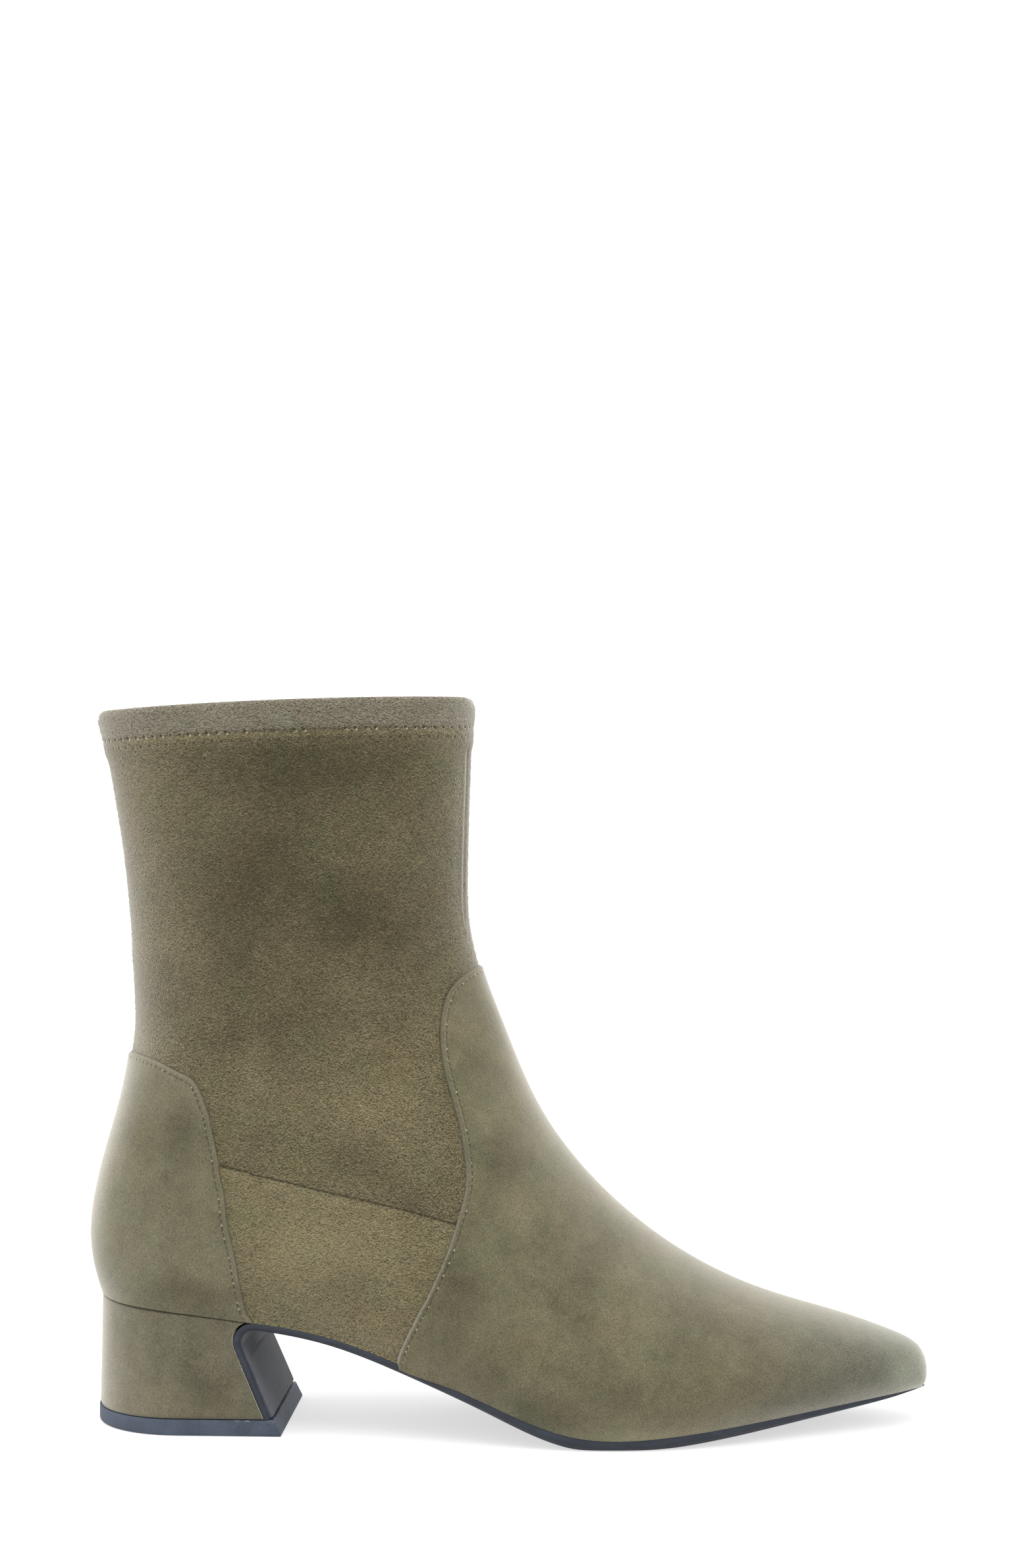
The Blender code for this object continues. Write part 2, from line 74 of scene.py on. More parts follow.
# Folded hem at the collar, heights measured down from its top edge
HEM_ZONE = 18.0
HEM_LIFT = 0.75
HEM_FOLD = 2.6
HEM_INSIDE = 14.0
HEM_ROW_HIGH = 9.3
HEM_ROW_LOW = 12.2
HEM_ROW_MIDDLE = 10.8
HEM_PINCH = 0.25
HEM_PINCH_WIDTH = 0.9
HEM_PINCH_LOW = 0.6
COLLAR_CORNER = 1.8
COLLAR_CORNER_POWER = 70.0
COLLAR_BOW = 1.0
COLLAR_BOW_ROWS = 3.0

# Sewn lines of the shaft
SEAM_DEPTH = 0.42
SEAM_WIDTH = 0.7
SEAM_PUFF = 0.16
SEAM_PUFF_AT = 2.4
SEAM_PUFF_WIDTH = 1.6
SEAM_ACROSS = (0.5, 1.4)
FRONT_SEAM_DEPTH = 0.25
FRONT_PUFF = 0.6
FRONT_PUFF_AT = 1.7
FRONT_PUFF_WIDTH = 1.0
FRONT_SEAM_FROM = 12.6
FRONT_SEAM_FULL = 15.0
FRONT_SEAM_OFF = 4.8
SEAM_REACH = 25.0

# Length of one stitch
HEM_STITCH = 3.1
SIDE_STITCH = 2.3
EDGE_STITCH = 2.0

# Sole, heel and top lift
SOLE_MARGIN = 0.9
SOLE_TIP_SHARE = 0.2
SOLE_FULL_ROW = 3.0
SOLE_EASE = 0.5
FLAP_THICK = 2.6
FLAP_ROUND = 1.3
FLAP_TOP_INSET = 6.0
HEEL_ROUND = 27.0
HEEL_FOOT_HALF = 26.2
HEEL_FOOT_BACK = -128.6
HEEL_TOP_ROUND = 0.9
HEEL_FOOT_ROUND = 0.4
BREAST_CENTRE_X = -76.8
BREAST_CENTRE_Z = 28.9
BREAST_RADIUS = 6.0
BREAST_START = math.radians(85.0)
BREAST_LEAN = math.radians(23.0)
LIFT_TOP = 5.0
LIFT_HALF = 26.4
LIFT_BACK = -128.9
LIFT_FRONT_LOW = -67.8
LIFT_FRONT_TOP = -70.4
SOLE_SHARP = 55.0
HEEL_SHARP = 40.0
LIFT_SHARP = 50.0

# The last, one row for each section from the toe tip, over the instep, to the collar.
# A section is a plane seen from the side as the line from its low end to its top end.
# foot: half-widths at the sole's edge, wide: largest half-widths, both from mid_y.
# wide_at: share of the height where it is widest, crown and back: fullness of the curve.
COLUMNS = (
    "low_x", "low_z", "top_x", "top_z", "mid_y", "foot_out", "foot_in",
    "wide_out", "wide_in", "wide_at", "crown", "back", "sole",
)
SECTIONS = (
    (130.0, 12.2, 130.0, 12.2, 5.0, 0.0, 0.0, 0.0, 0.0, 0.45, 0.00, 0.00, 1.6),
    (127.6, 12.0, 130.7, 16.4, 5.0, 4.6, 4.6, 5.6, 5.6, 0.42, 0.00, 0.00, 1.9),
    (120.5, 11.4, 128.6, 22.4, 5.0, 9.6, 9.6, 11.2, 11.2, 0.38, 0.00, 0.00, 2.3),
    (108.0, 10.1, 120.1, 27.0, 5.0, 15.8, 15.4, 17.8, 17.2, 0.34, -0.02, 0.00, 2.8),
    (90.0, 8.3, 102.2, 33.0, 4.6, 24.2, 21.8, 26.6, 23.8, 0.30, -0.05, 0.00, 3.4),
    (68.0, 6.3, 77.5, 40.5, 4.0, 34.6, 28.6, 37.4, 30.9, 0.26, -0.12, 0.00, 4.0),
    (45.0, 4.2, 52.2, 53.3, 3.2, 40.6, 33.2, 43.4, 36.0, 0.23, -0.19, 0.00, 4.2),
    (21.0, 4.9, 30.3, 70.9, 2.4, 40.9, 32.6, 44.0, 36.2, 0.21, -0.24, 0.00, 4.2),
    (-3.0, 13.2, 13.5, 90.8, 1.8, 37.4, 27.2, 41.2, 33.8, 0.21, -0.24, 0.00, 3.4),
    (-28.0, 22.9, 3.8, 109.0, 1.2, 32.6, 22.6, 37.0, 31.2, 0.23, -0.20, 0.00, 2.9),
    (-54.0, 31.6, -2.0, 123.4, 0.8, 29.0, 21.4, 33.2, 30.0, 0.26, -0.14, 0.08, 2.7),
    (-80.0, 35.8, -6.0, 133.6, 0.4, 26.6, 23.6, 30.2, 29.0, 0.30, -0.08, 0.18, 2.6),
    (-102.0, 38.3, -9.0, 142.6, 0.0, 25.6, 25.0, 28.4, 28.2, 0.34, -0.03, 0.28, 2.6),
    (-118.5, 39.6, -11.3, 152.0, 0.0, 25.4, 25.2, 27.8, 27.8, 0.38, 0.00, 0.36, 2.6),
    (-127.0, 40.6, -12.4, 161.0, 0.0, 25.4, 25.4, 27.4, 27.4, 0.404, 0.02, 0.40, 2.6),
    (-130.4, 55.5, -12.5, 171.0, 0.0, 25.4, 25.4, 27.2, 27.2, 0.412, 0.04, 0.39, 2.6),
    (-126.6, 82.0, -12.3, 182.0, 0.0, 25.4, 25.4, 26.8, 26.8, 0.408, 0.06, 0.34, 2.6),
    (-119.0, 112.0, -12.0, 193.5, 0.0, 25.4, 25.4, 26.2, 26.2, 0.413, 0.08, 0.27, 2.6),
    (-118.3, 145.0, -11.6, 205.0, 0.0, 25.4, 25.4, 25.4, 25.4, 0.436, 0.10, 0.20, 2.6),
    (-122.0, 182.0, -11.3, 216.5, 0.0, 25.4, 25.4, 25.0, 25.0, 0.466, 0.10, 0.15, 2.6),
    (-129.3, 222.7, -10.8, 227.2, 0.0, 25.4, 25.4, 25.2, 25.2, 0.50, 0.10, 0.12, 2.6),
)
SEAT_ROW = 14.0
COLLAR_ROW = float(len(SECTIONS) - 1)
TOE_GHOSTS = 2

# Lines on the last: across is 0 on the ridge, 1 at the widest and 2 at the sole or the
# back line, along is the section row.
VAMP_EDGE = (
    (2.00, 9.15), (1.60, 9.17), (1.27, 9.15), (1.02, 9.11), (0.86, 9.07), (0.75, 9.11),
    (0.67, 9.20), (0.60, 9.50), (0.54, 10.02), (0.48, 10.85), (0.42, 11.60),
    (0.36, 12.10), (0.28, 12.26), (0.14, 12.12), (0.00, 12.02),
)
COUNTER_EDGE = (
    (1.97, 10.85), (1.86, 10.90), (1.70, 11.05), (1.54, 11.25), (1.37, 11.60), (1.24, 12.10),
    (1.14, 12.78), (1.102, 13.25), (1.086, 13.70), (1.087, 14.10), (1.091, 14.48), (1.099, 14.95),
    (1.12, 15.34), (1.18, 15.84), (1.28, 16.23), (1.44, 16.64), (1.62, 16.93), (1.80, 17.08),
    (2.00, 17.12),
)
SIDE_SEAM = (
    (1.087, 14.10), (1.067, 13.77), (1.040, 13.34), (1.016, 13.03), (0.975, 12.34),
    (0.941, 11.68), (0.915, 11.12), (0.889, 10.62), (0.862, 10.15), (0.820, 9.56),
    (0.785, 9.15), (0.757, 8.85),
)
COUNTER_BACK_ROW = 16.3

# Where the nap lies lighter or darker from its brushing, together with painted light and
# shade: painted pale rims along the back outline, painted shade along the ankle creases, the
# seat and the instep ridge, and a painted highlight near the toe. Seen from the side: x and z
# of the middle, half-width, half-height, lean in degrees, and how much lighter, or darker if
# negative, it lies.
BRUSHED_AND_PAINTED_LIGHT = (
    (-58, 175, 40, 42, 0, -0.6), (-56, 205, 28, 8, 0, -0.6), (-82, 166, 13, 20, 0, -0.55),
    (-38, 154, 20, 10, -5, -0.5), (-40, 183, 16, 8, 0, 0.25), (-78, 125, 20, 7, 15, -0.4),
    (-104, 149, 14, 8, 0, 0.3), (-110, 118, 12, 6, 0, 0.3), (-45, 85, 12, 8, -20, -0.5),
    (-28, 71, 12, 5, -25, -0.5), (-73, 92, 7, 6, 0, -0.3), (-113, 185, 8, 30, 0, 0.3),
    (-62, 57, 16, 10, 0, 0.6), (-48, 47, 8, 7, 0, -0.4), (-103, 92, 10, 12, 0, -0.5),
    (-100, 45, 22, 5, -10, -0.5), (-123, 75, 7, 20, 0, 0.3), (-90, 15, 10, 10, 0, -0.6),
    (0, 86, 9, 7, 0, -0.6), (-14, 45, 9, 22, -15, -0.5), (10, 12, 12, 7, -20, -0.6),
    (40, 15, 14, 7, 0, -0.35), (4, 69, 6, 6, 0, 0.5), (40, 3, 24, 4, 0, 1.0),
    (-12, 112, 8, 24, -20, -0.3), (70, 26, 10, 6, -20, 0.4), (86, 12, 14, 5, 5, -0.4),
    (112, 20, 12, 4, -10, -0.3), (-55, 98, 42, 20, 0, 0.35), (12, 42, 18, 22, 0, -0.25),
    (75, 24, 26, 11, -22, -0.45), (37, 53, 42, 13, -38, -0.35), (124, 16, 6, 6, 0, 1.2),
    (37, 48, 8, 9, -30, 0.45),
)

# Soft creases at the ankle, seen from the side: x and z of the middle, half-length,
# half-width, lean in degrees and depth.
CREASES = (
    (-92, 130, 30, 6.0, 12, 0.7), (-108, 146, 16, 5.0, 8, -0.3), (-36, 78, 15, 4.0, -25, 0.5),
    (-26, 138, 14, 5.0, -14, 0.4),
)

# The sole's edge from its top inwards to the underside: share of the thickness, inset
SOLE_PROFILE = (
    (0.00, 2.50), (0.00, 0.30), (0.03, 0.10), (0.08, 0.00), (0.30, -0.05), (0.52, 0.00),
    (0.58, 0.08), (0.63, 0.35), (0.95, 1.95), (1.00, 2.40), (1.00, 9.00),
)

# The top lift's edge: height and how far it is set in
LIFT_PROFILE = (
    (0.0, 0.9), (0.12, 0.45), (0.5, 0.1), (0.9, 0.0), (4.7, 0.0), (4.95, 0.05), (5.0, 0.15),
)

# Suede: from dark to light, how light each piece is between them, and what sways it
SUEDE_DARK = (0.030, 0.024, 0.011, 1.0)
SUEDE_LIGHT = (0.213, 0.183, 0.103, 1.0)
GREEN_DRIFT = (0.93, 1.0, 0.96, 1.0)
BROWN_DRIFT = (1.0, 0.98, 0.95, 1.0)
SHAFT_NAP = 0.56
SHAFT_NAP_CONTRAST = 4.8
FINE_NAP = 0.36
FINE_NAP_CONTRAST = 1.9
PEBBLES = 1.1
PEBBLE_CONTRAST = 0.65
# NAP_RISE: how far up, in nap sizes, the nap is looked up again for its painted light
NAP_RISE = 0.35
NAP_STRETCH = (1.1, 1.1, 0.95)
NAP_LEAN = math.radians(48.0)
# Painted shade in seam grooves, needle holes and dimples, along the overlays' edges and at the
# heel's top
PAINTED_SHADE = (0.016, 0.013, 0.007, 1.0)
THREAD = (0.40, 0.38, 0.29, 1.0)
# The hem greyer, as painted sheen
HEM_SHEEN_TINT = (1.0, 1.04, 1.38, 1.0)
VAMP_TINT = (0.98, 1.03, 1.10, 1.0)
COUNTER_TINT = (0.98, 1.04, 1.16, 1.0)
HEEL_TINT = (0.98, 1.03, 1.24, 1.0)
# The overlays greyer towards the toe, over the x range below, as painted sheen
TOE_SHEEN_TINT = (0.98, 1.07, 1.38, 1.0)
TOE_SHEEN_X = (70.0, 118.0)
SHAFT_LEVEL = 0.36
# The hem lighter, as painted sheen
HEM_SHEEN_LIGHTER = 0.26
ROW_LIGHTER = 0.14
PANEL_LIGHTER = 0.175
VAMP_LEVEL = 0.41
COUNTER_LEVEL = 0.44
HEEL_LEVEL = 0.43
# The fibres painted lighter than the suede, as if each caught the light
FIBRE_LIT_LEVEL = 0.66
# Share of the brushing ovals, with their painted light and shade, in the suede's tone
BRUSH_AND_LIGHT_SHARE = 0.32
SHAFT_CLOUDS = 0.6
FINE_CLOUDS = 0.85
SHAFT_SHEEN = 0.36
FINE_SHEEN = 0.40
SHEEN_TINT = (1.0, 0.96, 0.88, 1.0)
SUEDE_ROUGH = 0.92
NAP_ROUGH = 0.06

# Clouds in the suede: size, how twisted, and share
CLOUDS = ((26.0, 0.6, 0.5), (9.0, 0.6, 0.3), (3.0, 0.0, 0.2))

# Other colours, the darker and the lighter
SOLE_EDGE = ((0.011, 0.014, 0.020, 1.0), (0.028, 0.033, 0.045, 1.0))
# The same rubber painted lighter on the flap's face, as painted light
SOLE_BREAST_LIT = ((0.058, 0.061, 0.070, 1.0), (0.100, 0.104, 0.115, 1.0))
LIFT_RUBBER = ((0.028, 0.037, 0.054, 1.0), (0.053, 0.067, 0.095, 1.0))
LIFT_WORN = (0.32, 0.33, 0.34, 1.0)
LINING = ((0.115, 0.098, 0.066, 1.0), (0.200, 0.172, 0.120, 1.0))
INSOLE = ((0.330, 0.270, 0.185, 1.0), (0.450, 0.375, 0.270, 1.0))
FLOOR = ((0.35, 0.35, 0.352, 1.0), (0.37, 0.37, 0.37, 1.0))
WHITE = (1.0, 1.0, 1.0, 1.0)

# Where the flap's face, painted lighter as light falling on it, begins and is full, and the
# same for the lift's worn edge
FLAP_LIT_X = (-60.0, -66.0)
FLAP_LIT_Y = (25.8, 24.6)
FLAP_LIT_Z = (33.0, 29.0)
WORN_X = (-100.0, -75.0)
WORN_Z = (4.6, 4.8)

# Nap fibres
FIBRE_LENGTH = 0.75
FIBRE_SHORTEST = 0.5
FIBRE_HALF = 0.055
FIBRE_ROOT = 0.10
FIBRE_LEAN = 0.9
RIM_CROWD = 8.0
RIM_BAND = 0.35
SOLE_CROWD = 16.0
SOLE_CROWD_FROM = 0.985
SEAT_HEIGHT = 36.0
FIBRES = 45000

# How finely each piece is divided
UPPER_COLUMNS = 161
UPPER_FIRST_ROW = 8.35
UPPER_ROWS = 225
HEM_ROWS = 36
FOLD_ROWS = 13
HEM_INSIDE_ROWS = 8
LINING_FIRST_ROW = 1.0
LINING_ROWS = 110
LINING_COLUMNS = 61
LINING_TOP = 12.0
VAMP_COLUMNS = 171
VAMP_ROWS = 200
VAMP_TOE_ROW = 0.02
VAMP_SEWN_ROW = 6.0
NEAR_EDGE = 6.0
NEAR_EDGE_ROWS = 30
NEAR_EDGE_EASE = 1.6
COUNTER_ROUND = 280
COUNTER_DEPTH = 90
COUNTER_EASE = 2.2
SOLE_ROWS = 190
SOLE_ROW_EASE = 1.3
BREAST_ARC_ROWS = 26
BREAST_RUN_ROWS = 18
HEEL_STRAIGHT_ROWS = 40
HEEL_ROUND_ROWS = 50
HEEL_LEVELS = 80
HEEL_LEVEL_EASE = 1.7
LINE_FINE = 260

# The picture
CAMERA_AZIMUTH = math.radians(2.6)
CAMERA_DISTANCE = 0.815
CAMERA_CENTRE_X = 0.0012
CAMERA_HEIGHT = 0.200
CAMERA_LENS = 59.4
CAMERA_SENSOR = 36.0
SURROUND = 1.38
FLOOR_GLOW = 0.60
FLOOR_HALF = 4000.0
LIGHT_TARGET = (0.0, 0.0, 0.1)

# Lights: name, place, size and power
LIGHTS = (
    ("top_light", (0.0, -0.4, 1.5), 1.4, 22.0),
    ("toe_light", (1.3, -0.4, 0.7), 0.8, 5.0),
    ("heel_light", (-1.3, -0.3, 0.7), 0.8, 5.0),
)


# The last

def spline(values, at, rest_row=None):
    """Smooth cubic through values given at 0, 1, 2 and so on: its slopes make the bend
    continuous. At rest_row the slope is zero, so that a corner can be turned there."""
    values = np.asarray(values, float)
    count = len(values)
    system = np.eye(count) * 4.0
    right = np.zeros(count)
    for i in range(count):
        before = max(i - 1, 0)
        after = min(i + 1, count - 1)
        right[i] = 3.0 * (values[after] - values[before])
        if i == rest_row:
            right[i] = 0.0
            continue
        system[i, i] = 2.0 * (after - before)
        system[i, before] += float(before < i)
        system[i, after] += float(after > i)
    slope = np.linalg.solve(system, right)
    left = np.clip(np.floor(at).astype(int), 0, count - 2)
    f = at - left
    rise = values[left + 1] - values[left]
    start = slope[left] - rise
    end = rise - slope[left + 1]
    return values[left] + rise * f + f * (1.0 - f) * (start * (1.0 - f) + end * f)


def last_table():
    """The sections with two more before the toe tip, so that the nose is round: there
    low and top change places and the half-widths change sign."""
    rows = np.array(SECTIONS)
    ghosts = rows[TOE_GHOSTS:0:-1].copy()
    ghosts[:, [0, 1, 2, 3]] = ghosts[:, [2, 3, 0, 1]]
    ghosts[:, 5:9] *= -1.0
    return np.vstack([ghosts, rows])


LAST = last_table()


def column(name, along):
    """One column of the sections at any row. The low end turns a corner at the heel seat."""
    rest_row = SEAT_ROW + TOE_GHOSTS if name.startswith("low") else None
    values = LAST[:, COLUMNS.index(name)]
    return spline(values, np.asarray(along, float) + TOE_GHOSTS, rest_row)


def foot_widths(along):
    """Half-widths at the sole's edge, times a quarter circle round the heel, none above it."""
    along = np.asarray(along, float)
    round_from = SECTIONS[int(SEAT_ROW)][0] + HEEL_ROUND
    past = np.clip((round_from - column("low_x", along)) / HEEL_ROUND, 0.0, 1.0)
    rounding = np.where(along < SEAT_ROW, np.sqrt(1.0 - past**2), 0.0)
    return column("foot_out", along) * rounding, column("foot_in", along) * rounding


def last_point(along, across):
    """Point of the last. across runs from -2 at the outer sole edge over the ridge at 0
    to 2 at the inner edge: a quarter turn from the edge out to the widest place, and a
    quarter turn from there up to the ridge."""
    along, across = np.broadcast_arrays(np.asarray(along, float), np.asarray(across, float))
    foot_out, foot_in = foot_widths(along)
    outer = across < 0
    foot = np.where(outer, foot_out, foot_in)
    wide = np.where(outer, column("wide_out", along), column("wide_in", along))
    share = column("wide_at", along)
    upper = np.abs(across) <= 1.0
    turn = (np.where(upper, 1.0, 2.0) - np.abs(across)) * math.pi / 2.0
    sine = np.sin(turn)
    cosine = np.cos(turn)
    upper_y = wide * cosine * (1.0 + column("crown", along) * sine**2)
    bulge = sine * (1.0 + column("back", along) * cosine**2)
    lower_y = np.sqrt(foot**2 + (wide**2 - foot**2) * bulge**2)
    y = np.where(upper, upper_y, lower_y)
    rise = np.where(upper, share + (1.0 - share) * sine, share * (1.0 - cosine))
    low_x = column("low_x", along)
    low_z = column("low_z", along)
    near_collar = np.clip((along - COLLAR_ROW) / COLLAR_BOW_ROWS + 1.0, 0.0, 1.0) ** 2
    bow = COLLAR_BOW * near_collar * 4.0 * rise * (1.0 - rise)
    return np.stack(
        [
            low_x + (column("top_x", along) - low_x) * rise,
            column("mid_y", along) + np.sign(across) * y,
            low_z + (column("top_z", along) - low_z) * rise + bow,
        ],
        axis=-1,
    )


def last_normal(along, across):
    """Outward direction square to the last, from small steps along and across."""
    along, across = np.broadcast_arrays(np.asarray(along, float), np.asarray(across, float))
    across = np.clip(across, -2.0 + 2.0 * SMALL_STEP, 2.0 - 2.0 * SMALL_STEP)
    on = np.minimum(along + SMALL_STEP, COLLAR_ROW)
    off = np.maximum(along - SMALL_STEP, SMALL_STEP)
    normal = np.cross(
        last_point(along, across + SMALL_STEP) - last_point(along, across - SMALL_STEP),
        last_point(on, across) - last_point(off, across),
    )
    return normal / np.linalg.norm(normal, axis=-1, keepdims=True)


def lifted(along, across, lift):
    """Points at a height above the last, or below it where the lift is negative."""
    return last_point(along, across) + np.asarray(lift)[..., None] * last_normal(along, across)


def edge_curve(edge, count):
    """across and along at evenly numbered places on a smooth curve through an edge table."""
    at = np.linspace(0.0, len(edge) - 1.0, count)
    table = np.array(edge)
    return spline(table[:, 0], at), spline(table[:, 1], at)


def both_sides(half):
    """The across values from the outer side over the ridge to the inner side."""
    return np.concatenate([-half[::-1], half[1:]])


def nearest(points, line):
    """Distance from each point to a line of straight runs, and the length along the line
    to the closest place: the smallest over the runs of the distance to each run."""
    lengths = np.linalg.norm(np.diff(line, axis=0), axis=-1)
    starts = np.concatenate([[0.0], np.cumsum(lengths)])
    gap = np.full(points.shape[:-1], np.inf)
    place = np.zeros(points.shape[:-1])
    for start, end, length, begun in zip(line[:-1], line[1:], lengths, starts):
        run = (end - start) / length
        along = np.clip((points - start) @ run, 0.0, length)
        away = np.linalg.norm(points - start - along[..., None] * run, axis=-1)
        closer = away < gap
        gap = np.where(closer, away, gap)
        place = np.where(closer, begun + along, place)
    return gap, place


def hump(distance, width):
    """A soft bell: one at the middle, falling off over the width."""
    return np.exp(-((distance / width) ** 2))


def smooth_step(value, low, high):
    """Eases from 0 at low to 1 at high with level ends."""
    f = np.clip((value - low) / (high - low), 0.0, 1.0)
    return f * f * (3.0 - 2.0 * f)


def ovals(points, table):
    """Soft leaning ovals of different strengths, seen from the side, added up."""
    total = np.zeros(points.shape[:-1])
    for x, z, wide, high, lean, strength in table:
        cosine = math.cos(math.radians(lean))
        sine = math.sin(math.radians(lean))
        along = (points[..., 0] - x) * cosine + (points[..., 2] - z) * sine
        up = (points[..., 2] - z) * cosine - (points[..., 0] - x) * sine
        total += strength * hump(along, wide) * hump(up, high)
    return total


def brushed_and_painted_light(points):
    """How light the nap lies from its brushing, with the painted light and shade among the ovals.
    """
    return ovals(points, BRUSHED_AND_PAINTED_LIGHT)


# Meshes

def grid_faces(rows, columns, closed=False, first=0):
    """Quads of a grid of points, with its last column joined to its first where closed."""
    index = first + np.arange(rows * columns).reshape(rows, columns)
    if closed:
        index = np.hstack([index, index[:, :1]])
    corners = [index[:-1, :-1], index[:-1, 1:], index[1:, 1:], index[1:, :-1]]
    return np.stack(corners, axis=-1).reshape(-1, 4)


def join_doubles(mesh):
    """Joins the points that meet and takes out the faces that have no area."""
    shape = bmesh.new()
    shape.from_mesh(mesh)
    bmesh.ops.remove_doubles(shape, verts=shape.verts, dist=JOIN_DISTANCE)
    bmesh.ops.dissolve_degenerate(shape, edges=shape.edges, dist=JOIN_DISTANCE)
    shape.to_mesh(mesh)
    shape.free()


def show(name, data):
    """A new object in the scene."""
    obj = bpy.data.objects.new(name, data)
    bpy.context.scene.collection.objects.link(obj)
    return obj


def add_piece(name, points, faces, material, node=None, attributes=None, joined=True):
    """One smooth mesh that rides on the boot. Attributes are one vector for each point."""
    mesh = bpy.data.meshes.new(name)
    mesh.from_pydata((points.reshape(-1, 3) * MM).tolist(), [], faces.tolist())
    for label, values in (attributes or {}).items():
        layer = mesh.attributes.new(label, "FLOAT_VECTOR", "POINT")
        layer.data.foreach_set("vector", values.reshape(-1).astype(np.float32))
    if joined:
        join_doubles(mesh)
    mesh.materials.append(material)
    mesh.shade_smooth()
    obj = show(name, mesh)
    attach(obj, BODY)
    if node:
        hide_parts(node)
    return obj


def loft(name, loops, material, node, sharp_degrees, attributes=None):
    """A closed solid through loops of points, each one side and then the other turned
    round, with rungs from side to side over both end loops."""
    count, around = loops.shape[:2]
    faces = [grid_faces(count, around, closed=True)]
    near = np.arange(around // 2 - 1)
    for first in (0, (count - 1) * around):
        far = around - 1 - near
        faces.append(first + np.stack([near, near + 1, far - 1, far], axis=-1))
    obj = add_piece(name, loops, np.vstack(faces), material, node, attributes)
    shape = bmesh.new()
    shape.from_mesh(obj.data)
    bmesh.ops.recalc_face_normals(shape, faces=shape.faces)
    shape.to_mesh(obj.data)
    shape.free()
    obj.data.set_sharp_from_angle(angle=math.radians(sharp_degrees))


# Materials

def maths(operation, swapped=False):
    """A Wire method that adds one Math node, swapped where the number stands on the left."""

    def method(self, *others):
        values = (*others, self) if swapped else (self, *others)
        inputs = dict(enumerate(values))
        return self.paint.value("ShaderNodeMath", {"operation": operation}, inputs)

    return method


class Wire:
    """A shader value in arithmetic: each operator adds one Math node to its material."""

    def __init__(self, paint, socket):
        self.paint = paint
        self.socket = socket

    __add__ = maths("ADD")
    __radd__ = maths("ADD", swapped=True)
    __sub__ = maths("SUBTRACT")
    __rsub__ = maths("SUBTRACT", swapped=True)
    __mul__ = maths("MULTIPLY")
    __rmul__ = maths("MULTIPLY", swapped=True)
    __truediv__ = maths("DIVIDE")
    __abs__ = maths("ABSOLUTE")
    floor = maths("FLOOR")
    higher = maths("MAXIMUM")
    left_over = maths("FRACT")

    def ramp(self, low, high):
        """Eases from 0 at low to 1 at high, where low may be the larger."""
        return self.paint.value(
            "ShaderNodeMapRange",
            {"interpolation_type": "SMOOTHSTEP"},
            {0: self, 1: low, 2: high, 3: 0.0, 4: 1.0},
        )


